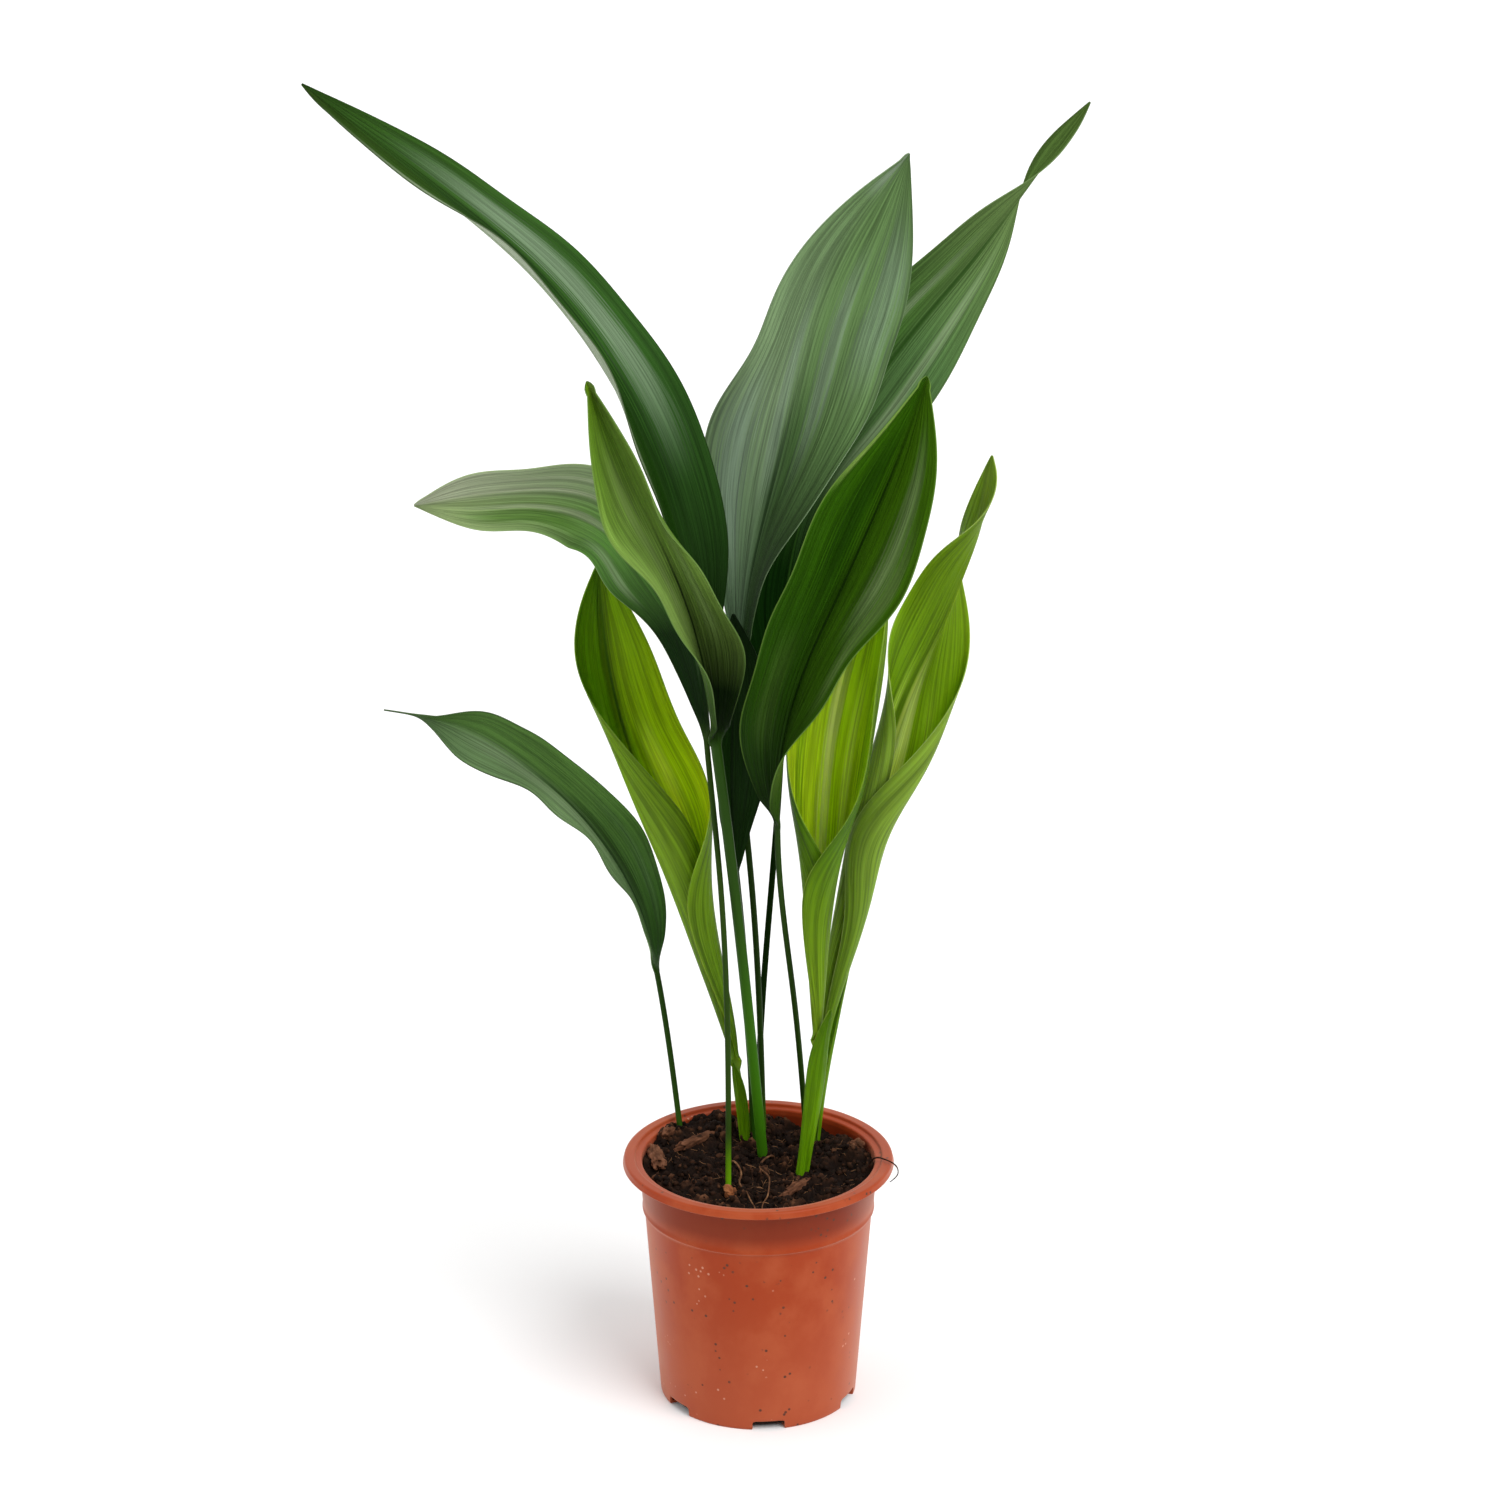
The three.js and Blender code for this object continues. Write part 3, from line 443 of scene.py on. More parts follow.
class Board:
    """A material's node tree, with short methods that add nodes and link them.

    Wherever a method takes an object, it is a socket to link, or else a number or a colour.
    """

    def __init__(self, name: str) -> None:
        """Start a material with a Principled surface.

        Args:
            name: The material's name.
        """
        self.material = bpy.data.materials.new(name)
        self.material.use_nodes = True
        self.tree = self.material.node_tree
        self.surface = self.tree.nodes["Principled BSDF"]

    def put(self, socket: Socket, value: object) -> None:
        """Link a socket to an output, or set it to a constant.

        Args:
            socket: The input.
            value: What it gets.
        """
        if isinstance(value, Socket):
            self.tree.links.new(value, socket)
        elif isinstance(value, tuple) and len(value) == 3 and socket.type == "RGBA":
            socket.default_value = (*value, 1.0)
        else:
            socket.default_value = value

    def add(self, kind: str, *values: object, **options: object) -> bpy.types.Node:
        """Add a node, set its options and feed its first inputs.

        Args:
            kind: The shader node's type.
            values: What its first inputs get, in order.
            options: The node's own options.

        Returns:
            The node.
        """
        node = self.tree.nodes.new(f"ShaderNode{kind}")
        for option, choice in options.items():
            setattr(node, option, choice)
        for socket, value in zip(node.inputs, values):
            self.put(socket, value)
        return node

    def dress(self, **sockets: object) -> Material:
        """Feed the surface's own sockets, named in lower case with underscores.

        Args:
            sockets: What each of them gets.

        Returns:
            The finished material.
        """
        for key, value in sockets.items():
            name = key.replace("_", " ").title().replace("Ior", "IOR")
            self.put(self.surface.inputs[name], value)
        return self.material

    def mark(self, name: str) -> Socket:
        """The value of a named mark on the mesh."""
        return self.add("Attribute", attribute_name=name).outputs["Fac"]

    def place(self) -> Socket:
        """The point's place on the piece, in metres."""
        return self.add("TexCoord").outputs["Object"]

    def turned_away(self) -> Socket:
        """How far the surface turns away from the eye, from 0 to 1."""
        return self.add("LayerWeight").outputs["Facing"]

    def plus(self, a: object, b: object) -> Socket:
        """The sum of two values."""
        return self.add("Math", a, b, operation="ADD").outputs[0]

    def minus(self, a: object, b: object) -> Socket:
        """One value less another."""
        return self.add("Math", a, b, operation="SUBTRACT").outputs[0]

    def times(self, a: object, b: object) -> Socket:
        """The product of two values."""
        return self.add("Math", a, b, operation="MULTIPLY").outputs[0]

    def size_of(self, a: object) -> Socket:
        """A value without its sign."""
        return self.add("Math", a, operation="ABSOLUTE").outputs[0]

    def span(self, value: object, low: float, high: float, a: float = 0, b: float = 1) -> Socket:
        """A value eased from the range low to high to the range a to b, held at the ends."""
        return self.add("MapRange", value, low, high, a, b, interpolation_type="SMOOTHSTEP").outputs[0]

    def vector(self, x: object, y: object, z: object) -> Socket:
        """A vector from three values."""
        return self.add("CombineXYZ", x, y, z).outputs[0]

    def parts(self, vector: Socket) -> list[Socket]:
        """The three values of a vector."""
        return list(self.add("SeparateXYZ", vector).outputs)

    def noise(self, where: object, scale: float, detail: float = 3, rough: float = 0.55) -> Socket:
        """Smooth noise at a place.

        Args:
            where: The place.
            scale: How many swells there are in a unit of length.
            detail: How many finer layers it has.
            rough: How strong the finer layers are.

        Returns:
            A value that is 0.5 on average.
        """
        node = self.add("TexNoise", where)
        for key, value in (("Scale", scale), ("Detail", detail), ("Roughness", rough)):
            node.inputs[key].default_value = value
        return node.outputs[0]

    def grains(self, where: object, scale: float) -> Socket:
        """Distance to the nearest of scattered grains.

        Args:
            where: The place.
            scale: How many grains there are in a unit of length.

        Returns:
            The distance, in steps between grains.
        """
        node = self.add("TexVoronoi", where)
        node.inputs["Scale"].default_value = scale
        return node.outputs["Distance"]

    def blend(self, share: object, a: object, b: object) -> Socket:
        """A colour between two others.

        Args:
            share: 0 for the first and 1 for the second.
            a: The first colour.
            b: The second colour.

        Returns:
            The colour.
        """
        node = self.add("Mix", share, data_type="RGBA")
        self.put(node.inputs[6], a)
        self.put(node.inputs[7], b)
        return node.outputs[2]

    def scaled(self, colour: object, strength: object) -> Socket:
        """A colour made darker or lighter.

        Args:
            colour: The colour.
            strength: What it is multiplied by.

        Returns:
            The new colour.
        """
        node = self.add("VectorMath", colour, operation="SCALE")
        self.put(node.inputs["Scale"], strength)
        return node.outputs[0]

    def ramp(self, value: object, stops: tuple[tuple[float, Colour], ...]) -> Socket:
        """A colour picked from stops along a value.

        Args:
            value: The value.
            stops: Places from 0 to 1 and their colours, in shares of light.

        Returns:
            The colour.
        """
        node = self.add("ValToRGB", value)
        elements = node.color_ramp.elements
        while len(elements) < len(stops):
            elements.new(0.5)
        for element, (at, colour) in zip(elements, stops):
            element.position = at
            element.color = (*colour, 1.0)
        return node.outputs[0]

    def relief(self, height: object, depth_mm: float, over: Socket | None = None) -> Socket:
        """A normal tilted by a height.

        Args:
            height: The height, from 0 to 1.
            depth_mm: The depth in millimetres that it stands for.
            over: The normal of a coarser relief below it.

        Returns:
            The normal.
        """
        node = self.add("Bump")
        node.inputs["Strength"].default_value = 1.0
        node.inputs["Distance"].default_value = depth_mm * MM
        self.put(node.inputs["Height"], height)
        if over is not None:
            self.put(node.inputs["Normal"], over)
        return node.outputs[0]


def shade(colour: Colour) -> Colour:
    """Turn a colour as a screen shows it into shares of light, by the screen's own curve.

    Args:
        colour: Red, green and blue from 0 to 255.

    Returns:
        Red, green and blue from 0 to 1.
    """
    share = np.array(colour) / 255
    light = np.where(share <= 0.04045, share / 12.92, ((share + 0.055) / 1.055) ** 2.4)
    return tuple(float(v) for v in light)


@dataclass(frozen=True)
class Band:
    """A lengthwise band of another colour on the upper face of a blade. Some are the leaf's own
    streaks, and some are painted sheen.

    colour is as a screen shows it. across is the band's middle, from -1 at the left margin to 1
    at the right one, and width its half width. start and end are shares of the blade's length,
    and share is how far it covers. ragged is how much the streaks break up its sides, and
    soft_end how much of its length it fades over at each end.
    """

    colour: Colour
    across: float
    width: float
    start: float
    end: float
    share: float = 0.7
    ragged: float = 2.2
    soft_end: float = 0.35

    def paint(self, board: Board, under: Socket, across: Socket, along: Socket, streaks: Socket) -> Socket:
        """Lay the band over a colour, with soft ends and sides that the streaks break up.

        Args:
            board: The material that is being made.
            under: The colour below.
            across: The place across the blade.
            along: The place along the blade.
            streaks: Noise that is stretched along the blade.

        Returns:
            The colour with the band.
        """
        off = board.size_of(board.minus(across, self.across))
        off = board.plus(off, board.times(board.minus(streaks, 0.5), self.ragged * self.width))
        side = board.span(off, 0.25 * self.width, self.width, self.share, 0)
        soft = self.soft_end * (self.end - self.start)
        begun = board.span(along, self.start, self.start + soft)
        left = board.span(along, self.end - soft, self.end, 1, 0)
        return board.blend(board.times(side, board.times(begun, left)), under, shade(self.colour))


@dataclass(frozen=True)
class LeafFinish:
    """The finish of a blade: colours of its halves and its back, bands, streaks and gloss.

    Colours are as a screen shows them. left, right and under hold one for the base, the middle
    and the tip, and stages are their places along the blade. On grown blades the dark base
    colours are painted shade deep in the plant, and pale grey halves and tips are painted sheen.
    edge is the margin's own colour.
    rib_ends are the shares of the length between which the midrib shows as a crease of the
    colour rib. The crease is full within the first of crease_mm from the rib and gone at the
    second, and the margin's colour does the same with edge_mm. crease_share and edge_share are
    how far they cover. The stalk passes from the colour foot at foot_from to the colour stalk at
    foot_height, both in metres above the floor. streaks is how many streaks cross half the
    blade, contrast how far they darken and lighten it, and mix how much of them is broad, fine
    and as thin as a hair. vein_mm and hair_mm are how deep the veins and the thinnest lines
    look. gloss is the roughness, shine the strength of the reflections, and thin how much light
    comes through the blade, as far as through_m.
    """

    name: str
    left: Stages
    right: Stages
    under: Stages
    stalk: Colour
    foot: Colour
    edge: Colour
    rib: Colour
    rib_ends: tuple[float, float] = (0.0, 0.9)
    bands: tuple[Band, ...] = ()
    streaks: float = 9.0
    contrast: float = 0.5
    mix: tuple[float, float, float] = (0.34, 0.4, 0.26)
    crease_mm: tuple[float, float] = (0.4, 1.5)
    crease_share: float = 0.8
    edge_mm: tuple[float, float] = (0.1, 0.55)
    edge_share: float = 0.6
    gloss: float = 0.42
    thin: float = 0.0
    stages: tuple[float, float, float] = (0.02, 0.5, 0.98)
    shine: float = 0.06
    foot_from: float = 0.125
    foot_height: float = 0.155
    vein_mm: float = 0.9
    hair_mm: float = 0.22
    through_m: float = 0.003
    through_colour: Colour = (0.85, 1.0, 0.12)

    def material(self, seed: int) -> Material:
        """Build the blade's material.

        Streaks are noise stretched along the blade, read from the share of the width and of the
        length, so that they run together at both ends as veins do.

        Args:
            seed: Shifts the noise, so that no two leaves match.

        Returns:
            The material.
        """
        board = Board(f"{self.name}_{seed}")
        names = ("across", "along", "rib_mm", "margin_mm", "upper")
        across, along, rib_mm, margin_mm, upper = (board.mark(name) for name in names)

        def streak(fine: float, length: float, shift: float) -> Socket:
            """Noise that is finer across the blade than along it."""
            x, y = board.times(across, self.streaks * fine), board.times(along, length)
            return board.noise(board.vector(x, y, seed * 7.3 + shift), 1.0)

        def lengthwise(colours: Stages) -> Socket:
            """Colours that follow one another along the blade."""
            return board.ramp(along, tuple(zip(self.stages, map(shade, colours))))

        broad = streak(1.0, 2.2, 0.0)
        fine = streak(4.5, 5.0, 3.1)
        hair = streak(9.0, 1.5, 9.9)
        parts = [board.times(*part) for part in zip((broad, fine, hair), self.mix)]
        tone = board.plus(board.plus(parts[0], parts[1]), parts[2])
        swing = 0.6 * self.contrast
        strength = board.span(tone, 0.4, 0.6, 1 - swing, 1 + swing)

        right_half = board.span(across, -0.22, 0.22)
        top = board.blend(right_half, lengthwise(self.left), lengthwise(self.right))
        for band in self.bands:
            top = band.paint(board, top, across, along, fine)
        top = board.scaled(top, strength)
        low, high = self.rib_ends
        crease = board.span(board.size_of(rib_mm), *self.crease_mm, self.crease_share, 0)
        crease = board.times(crease, board.span(along, low, low + 0.15))
        crease = board.times(crease, board.span(along, high - 0.2, high, 1, 0))
        top = board.blend(crease, top, shade(self.rib))
        colour = board.blend(upper, board.scaled(lengthwise(self.under), strength), top)
        margin = board.span(margin_mm, *self.edge_mm, self.edge_share, 0)
        margin = board.times(margin, board.span(along, 0.05, 0.2))
        colour = board.blend(margin, colour, shade(self.edge))

        risen = board.span(board.parts(board.place())[2], self.foot_from, self.foot_height)
        stalk = board.blend(risen, shade(self.foot), shade(self.stalk))
        on_stalk = board.span(along, -0.005, 0.06, 1, 0)
        on_blade = board.minus(1.0, on_stalk)
        veins = board.relief(board.times(streak(2.2, 0.8, 6.6), on_blade), self.vein_mm)
        return board.dress(
            base_color=board.blend(on_stalk, colour, stalk),
            normal=board.relief(board.times(hair, on_blade), self.hair_mm, veins),
            roughness=board.span(fine, 0.3, 0.7, self.gloss - 0.08, self.gloss + 0.08),
            specular_ior_level=self.shine,
            subsurface_weight=self.thin,
            subsurface_scale=self.through_m,
            subsurface_radius=self.through_colour,
        )


@dataclass(frozen=True)
class PotFinish:
    """Satin moulded plastic with dust specks, scuffs and faint flow marks, and painted light: a pale
    sheen where the wall turns away from the eye, and the rim's shadow painted on the collar.

    Colours are shares of light, and heights are metres above the floor. The wall grows paler
    towards its foot by paler_foot, which fades out at paler_foot_height. rim_shadow_band holds the
    heights at which the painted shadow under the rim begins, is full, starts to fade and ends, and
    rim_shadow_share is how far it covers.
    """

    body: Colour = (0.335, 0.043, 0.0085)
    pale: Colour = (0.395, 0.072, 0.022)
    # painted shadow: the darker colour of the collar under the rim
    collar: Colour = (0.17, 0.019, 0.004)
    scuff: Colour = (0.62, 0.30, 0.20)
    speck: Colour = (0.10, 0.035, 0.02)
    # painted sheen: the paler colour where the wall turns away from the eye
    grazing_sheen: Colour = (0.60, 0.27, 0.18)
    # the paler colour of the lower wall
    paler_foot: Colour = (0.44, 0.105, 0.045)
    paler_foot_height: float = 0.09
    rim_shadow_band: tuple[float, float, float, float] = (0.1045, 0.114, 0.127, 0.1284)
    rim_shadow_share: float = 0.75
    grain_mm: float = 0.02
    shine: float = 0.15

    def material(self) -> Material:
        """Build the pot's material, in layers from the plastic out to the painted sheen at its edges.

        Returns:
            The material.
        """
        board = Board("terracotta_plastic")
        place = board.place()
        x, y, z = board.parts(place)
        moved = board.vector(y, z, x)
        flow = board.noise(board.vector(x, y, board.times(z, 0.8)), 40.0, 6)
        colour = board.blend(board.span(flow, 0.4, 0.7), self.body, self.pale)
        # the wall grows paler towards its foot
        foot = board.span(z, 0.0, self.paler_foot_height, 0.5, 0)
        colour = board.blend(foot, colour, self.paler_foot)

        # painted shadow of the rim, darkening the collar under it
        begun, full, fading, ended = self.rim_shadow_band
        shaded = board.times(board.span(z, begun, full), board.span(z, fading, ended, 1, 0))
        colour = board.blend(board.times(shaded, self.rim_shadow_share), colour, self.collar)

        rare = board.span(board.noise(place, 55.0, 1), 0.51, 0.57)
        speck = board.times(board.span(board.grains(place, 210.0), 0.12, 0.2, 1, 0), rare)
        colour = board.blend(speck, colour, self.speck)
        rare = board.span(board.noise(moved, 47.0, 1), 0.63, 0.68)
        scuff = board.times(board.span(board.grains(moved, 260.0), 0.12, 0.22, 1, 0), rare)
        colour = board.blend(board.times(scuff, 0.7), colour, self.scuff)

        # painted sheen: paler where the wall turns away from the eye
        glancing = board.span(board.turned_away(), 0.35, 1.0, 0, 0.5)
        return board.dress(
            base_color=board.blend(glancing, colour, self.grazing_sheen),
            normal=board.relief(board.noise(place, 1500.0, 2), self.grain_mm),
            roughness=board.span(flow, 0.3, 0.7, 0.36, 0.5),
            specular_ior_level=self.shine,
        )


@dataclass(frozen=True)
class EarthFinish:
    """Peat, bark or root: brown stages picked by the piece's own tone, with a rough grain.

    Colours are shares of light. grain is how many grains there are in a metre, and wander how
    far a noise of about three grains' size shifts the tone.
    """

    name: str
    stops: tuple[tuple[float, Colour], ...]
    grain: float = 900.0
    depth_mm: float = 0.35
    rough: float = 0.85
    wander: float = 0.5
    shine: float = 0.12

    def material(self) -> Material:
        """Build the material, which reads the mark named tone.

        Returns:
            The material.
        """
        board = Board(self.name)
        place = board.place()
        swell = board.minus(board.noise(place, self.grain * 0.35, 4, 0.65), 0.5)
        tone = board.plus(board.mark("tone"), board.times(swell, self.wander))
        return board.dress(
            base_color=board.ramp(tone, self.stops),
            normal=board.relief(board.noise(place, self.grain, 4, 0.7), self.depth_mm),
            roughness=self.rough,
            specular_ior_level=self.shine,
        )


PEAT = EarthFinish(
    "damp_peat",
    (
        (0.0, (0.005, 0.002, 0.001)),
        (0.34, (0.013, 0.0052, 0.0023)),
        (0.58, (0.040, 0.0155, 0.007)),
        (0.8, (0.125, 0.052, 0.0245)),
        (1.0, (0.30, 0.14, 0.075)),
    ),
)
BARK = EarthFinish(
    "bark",
    ((0.0, (0.022, 0.009, 0.005)), (0.5, (0.10, 0.038, 0.018)), (1.0, (0.25, 0.105, 0.055))),
    700.0,
    0.6,
)
ROOT = EarthFinish(
    "dry_root",
    ((0.0, (0.03, 0.012, 0.006)), (0.5, (0.13, 0.055, 0.024)), (1.0, (0.30, 0.15, 0.07))),
    600.0,
    0.2,
    0.7,
)
DARK_ROOT = EarthFinish(
    "wiry_root",
    ((0.0, (0.008, 0.003, 0.002)), (0.5, (0.035, 0.012, 0.007)), (1.0, (0.10, 0.04, 0.02))),
    600.0,
    0.2,
    0.7,
)
RHIZOME = EarthFinish(
    "rhizome",
    ((0.0, (0.07, 0.022, 0.008)), (0.5, (0.23, 0.075, 0.025)), (1.0, (0.42, 0.17, 0.07))),
    500.0,
    0.4,
)

DARK_STALK = (36, 62, 14)
DARK_EDGE = (40, 62, 26)


class Finish(Enum):
    """The named finishes of blades and sheaths, in colours as a screen shows them."""

    ARCHING = LeafFinish(
        "arching_blade",
        # painted shade: the dark base colours, deep in the plant
        left=((16, 38, 8), (36, 70, 12), (46, 74, 20)),
        right=((20, 44, 12), (46, 84, 28), (50, 86, 26)),
        under=((96, 116, 80), (128, 146, 112), (150, 164, 136)),
        stalk=DARK_STALK,
        foot=(60, 96, 16),
        edge=DARK_EDGE,
        rib=(30, 60, 14),
        bands=(
            Band((22, 54, 6), -0.12, 0.45, 0.0, 0.9, 0.8),
            # painted sheen: the pale grey-teal band on the right half
            Band((118, 142, 110), 0.48, 0.3, 0.26, 0.9, 0.9),
            Band((150, 166, 134), -0.9, 0.16, 0.2, 1.0, 0.8),
        ),
        contrast=0.45,
    )
    BROAD = LeafFinish(
        "broad_blade",
        # painted sheen: the pale grey left half
        left=((86, 112, 84), (122, 146, 108), (92, 122, 72)),
        right=((36, 64, 28), (86, 114, 68), (90, 120, 70)),
        under=((100, 122, 84), (124, 146, 108), (140, 158, 126)),
        stalk=DARK_STALK,
        foot=(60, 96, 16),
        edge=(120, 142, 108),
        rib=(36, 62, 28),
        rib_ends=(0.05, 0.5),
        bands=(
            Band((58, 88, 44), 0.12, 0.3, 0.05, 0.6, 0.6),
            Band((148, 168, 148), -0.12, 0.14, 0.25, 0.75, 0.4),
            Band((146, 166, 144), 0.32, 0.13, 0.3, 0.85, 0.4),
            # painted sheen: the wide grey bands at the left, the right and the folded tip
            Band((134, 154, 136), -0.6, 0.28, 0.08, 0.6, 0.65),
            Band((128, 150, 126), 0.75, 0.25, 0.5, 0.95, 0.45),
            Band((150, 168, 146), -0.35, 0.5, 0.88, 1.1, 0.7),
        ),
        contrast=0.58,
    )
    UPPER = LeafFinish(
        "upper_blade",
        # painted shadow of the broad blade: the near-black base colours of both faces
        left=((14, 40, 8), (62, 96, 42), (108, 132, 78)),
        right=((14, 40, 8), (78, 110, 62), (106, 130, 74)),
        under=((18, 44, 10), (78, 108, 56), (88, 118, 54)),
        stalk=(20, 40, 10),
        foot=(40, 70, 12),
        edge=(110, 134, 86),
        rib=(40, 72, 24),
        bands=(
            Band((128, 148, 112), 0.5, 0.14, 0.3, 0.8, 0.6),
            Band((128, 148, 112), -0.4, 0.12, 0.3, 0.8, 0.55),
        ),
        contrast=0.6,
        stages=(0.2, 0.58, 0.98),
        shine=0.0,
    )
    RIGHT = LeafFinish(
        "front_right_blade",
        # painted shade: the dark base colours, deep in the plant
        left=((18, 40, 4), (40, 78, 6), (52, 96, 6)),
        right=((18, 42, 4), (54, 92, 10), (64, 106, 8)),
        under=((36, 64, 10), (84, 116, 40), (110, 140, 56)),
        stalk=DARK_STALK,
        foot=(44, 84, 10),
        edge=(96, 128, 52),
        rib=(20, 46, 6),
        rib_ends=(0.15, 0.95),
        bands=(
            Band((22, 56, 3), -0.3, 0.28, 0.5, 0.95, 0.6),
            # painted sheen: the two greyish bands on the right half
            Band((124, 144, 96), 0.5, 0.2, 0.45, 0.95, 0.55),
            Band((112, 136, 78), 0.75, 0.16, 0.3, 0.8, 0.5),
            Band((66, 96, 34), -0.5, 0.3, 0.15, 0.5, 0.5),
            Band((150, 180, 90), -0.95, 0.1, 0.75, 1.05, 0.7),
        ),
        contrast=0.5,
    )
    LEFT = LeafFinish(
        "front_left_blade",
        # painted shade: the dark base colours, deep in the plant
        left=((14, 34, 3), (150, 184, 92), (96, 136, 18)),
        right=((14, 34, 3), (120, 150, 70), (112, 146, 54)),
        under=((36, 64, 10), (84, 116, 40), (104, 134, 50)),
        stalk=(36, 66, 12),
        foot=(58, 112, 12),
        edge=(96, 124, 66),
        rib=(24, 48, 10),
        rib_ends=(0.1, 0.62),
        bands=(
            Band((146, 166, 104), -0.3, 0.16, 0.3, 0.9, 0.6),
            Band((124, 144, 92), 0.4, 0.2, 0.25, 0.7, 0.5),
            Band((70, 104, 16), -0.7, 0.25, 0.55, 1.0, 0.5),
        ),
        contrast=0.55,
        stages=(0.16, 0.52, 0.98),
        foot_height=0.3,
    )
    LEVEL = LeafFinish(
        "level_blade",
        # painted shade: the dark base colours, deep in the plant; painted sheen: the pale grey tips
        left=((10, 36, 2), (80, 126, 50), (150, 170, 116)),
        right=((10, 34, 2), (94, 124, 70), (164, 172, 144)),
        under=((22, 50, 6), (90, 120, 60), (140, 156, 118)),
        stalk=(38, 62, 12),
        foot=(104, 156, 14),
        edge=(150, 170, 120),
        rib=(70, 96, 56),
        rib_ends=(0.1, 0.5),
        bands=(
            # painted sheen: the three pale lines on the folds near the tip
            Band((164, 174, 142), 0.12, 0.09, 0.5, 1.05, 0.7),
            Band((158, 170, 136), -0.35, 0.08, 0.45, 0.95, 0.6),
            Band((150, 162, 130), 0.55, 0.1, 0.5, 0.95, 0.55),
            Band((74, 124, 26), -0.6, 0.24, 0.55, 0.95, 0.6),
            Band((140, 166, 120), -0.75, 0.12, 0.3, 0.6, 0.5),
        ),
        contrast=0.5,
        stages=(0.24, 0.52, 0.98),
    )
    LOW = LeafFinish(
        "low_blade",
        left=((48, 88, 20), (136, 168, 116), (66, 96, 52)),
        right=((36, 80, 12), (96, 136, 66), (60, 92, 40)),
        under=((130, 156, 110), (140, 162, 126), (130, 150, 110)),
        stalk=(34, 62, 12),
        foot=(48, 84, 14),
        edge=DARK_EDGE,
        rib=(30, 62, 18),
        rib_ends=(0.02, 0.7),
        bands=(
            Band((142, 164, 126), -0.25, 0.32, 0.25, 0.85, 0.65),
            Band((28, 58, 14), 0.15, 0.18, 0.05, 0.6, 0.6),
            Band((86, 120, 70), 0.6, 0.14, 0.05, 0.5, 0.5),
        ),
        contrast=0.5,
    )
    INNER = LeafFinish(
        "inner_blade",
        # painted shade: the dark upper face of this leaf, deep among the others
        left=((24, 54, 10), (18, 44, 7), (12, 32, 6)),
        right=((20, 48, 8), (16, 40, 6), (12, 32, 6)),
        under=((84, 106, 76), (64, 88, 54), (26, 48, 16)),
        stalk=(26, 52, 10),
        foot=(40, 84, 10),
        edge=(16, 34, 8),
        rib=(8, 24, 4),
        contrast=0.5,
    )
    YOUNG_LEFT = LeafFinish(
        "young_left_blade",
        # partly painted light: the upper face, inside the roll, is brighter than its own yellow-green,
        # standing for light that comes through the blade
        left=((112, 148, 6), (88, 130, 3), (66, 104, 5)),
        right=((176, 204, 24), (160, 186, 16), (88, 124, 8)),
        under=((84, 120, 20), (104, 136, 26), (90, 124, 20)),
        stalk=(120, 160, 50),
        foot=(86, 134, 14),
        edge=(110, 140, 60),
        rib=(50, 92, 8),
        rib_ends=(0.55, 1.0),
        bands=(
            Band((205, 226, 90), 0.3, 0.16, 0.3, 0.72, 0.7),
            Band((190, 224, 30), 0.55, 0.22, 0.2, 0.7, 0.6),
            Band((136, 166, 60), -0.35, 0.08, 0.3, 0.8, 0.45),
        ),
        streaks=7.0,
        contrast=0.6,
        gloss=0.46,
        thin=0.6,
    )
    YOUNG_MIDDLE = LeafFinish(
        "young_middle_blade",
        left=((190, 210, 50), (164, 188, 28), (118, 152, 10)),
        right=((162, 188, 22), (146, 174, 14), (106, 142, 8)),
        under=((112, 144, 24), (62, 98, 2), (98, 128, 22)),
        stalk=(110, 150, 40),
        foot=(86, 134, 14),
        edge=(120, 150, 60),
        rib=(200, 212, 110),
        rib_ends=(0.0, 0.9),
        bands=(
            Band((206, 220, 118), 0.0, 0.12, 0.1, 0.85, 0.85),
            Band((184, 206, 84), 0.3, 0.09, 0.1, 0.8, 0.6),
            Band((104, 146, 12), -0.45, 0.12, 0.15, 0.9, 0.5),
            Band((96, 138, 10), 0.62, 0.2, 0.15, 0.9, 0.5),
        ),
        streaks=7.0,
        contrast=0.6,
        gloss=0.46,
        thin=0.6,
    )
    YOUNG_RIGHT = LeafFinish(
        "young_right_blade",
        left=((114, 148, 6), (84, 118, 1), (92, 120, 20)),
        right=((130, 160, 8), (90, 124, 1), (98, 124, 24)),
        under=((92, 128, 18), (112, 140, 46), (108, 134, 40)),
        stalk=(110, 150, 40),
        foot=(80, 124, 14),
        edge=(150, 172, 100),
        rib=(170, 190, 84),
        rib_ends=(0.1, 0.75),
        bands=(
            Band((196, 212, 116), 0.1, 0.11, 0.2, 0.72, 0.8),
            Band((176, 200, 84), -0.22, 0.09, 0.2, 0.7, 0.65),
            Band((160, 188, 60), 0.4, 0.12, 0.2, 0.65, 0.5),
        ),
        streaks=7.0,
        contrast=0.6,
        gloss=0.46,
        thin=0.6,
    )
    SHEATH = LeafFinish(
        "sheath",
        left=((100, 150, 8), (100, 140, 6), (70, 108, 8)),
        right=((100, 150, 8), (100, 140, 6), (70, 108, 8)),
        under=((92, 144, 4), (92, 134, 3), (66, 102, 3)),
        stalk=(90, 130, 14),
        foot=(84, 128, 12),
        edge=(110, 140, 50),
        rib=(90, 126, 20),
        streaks=3.0,
        contrast=0.4,
        gloss=0.46,
        thin=0.6,
    )


# ---- leaves -------------------------------------------------------------------------------

FRONT = np.array([0.0, -1.0, 0.0])
RIB_SAMPLES = 300
# In millimetres: how thick a blade is, how much thicker under its midrib and how far to each
# side, the half width from which it is that much thicker, and the one below which it flattens.
BLADE_EDGE = 0.7
RIB_SWELL = 1.3
RIB_REACH = 4.0
FULL_SWELL_WIDTH = 10.0
FLAT_BELOW = 5.0
# Shares of the blade's length over which the stalk opens into it.
FADE_IN = 0.08
ROLLED_FADE_IN = 0.035


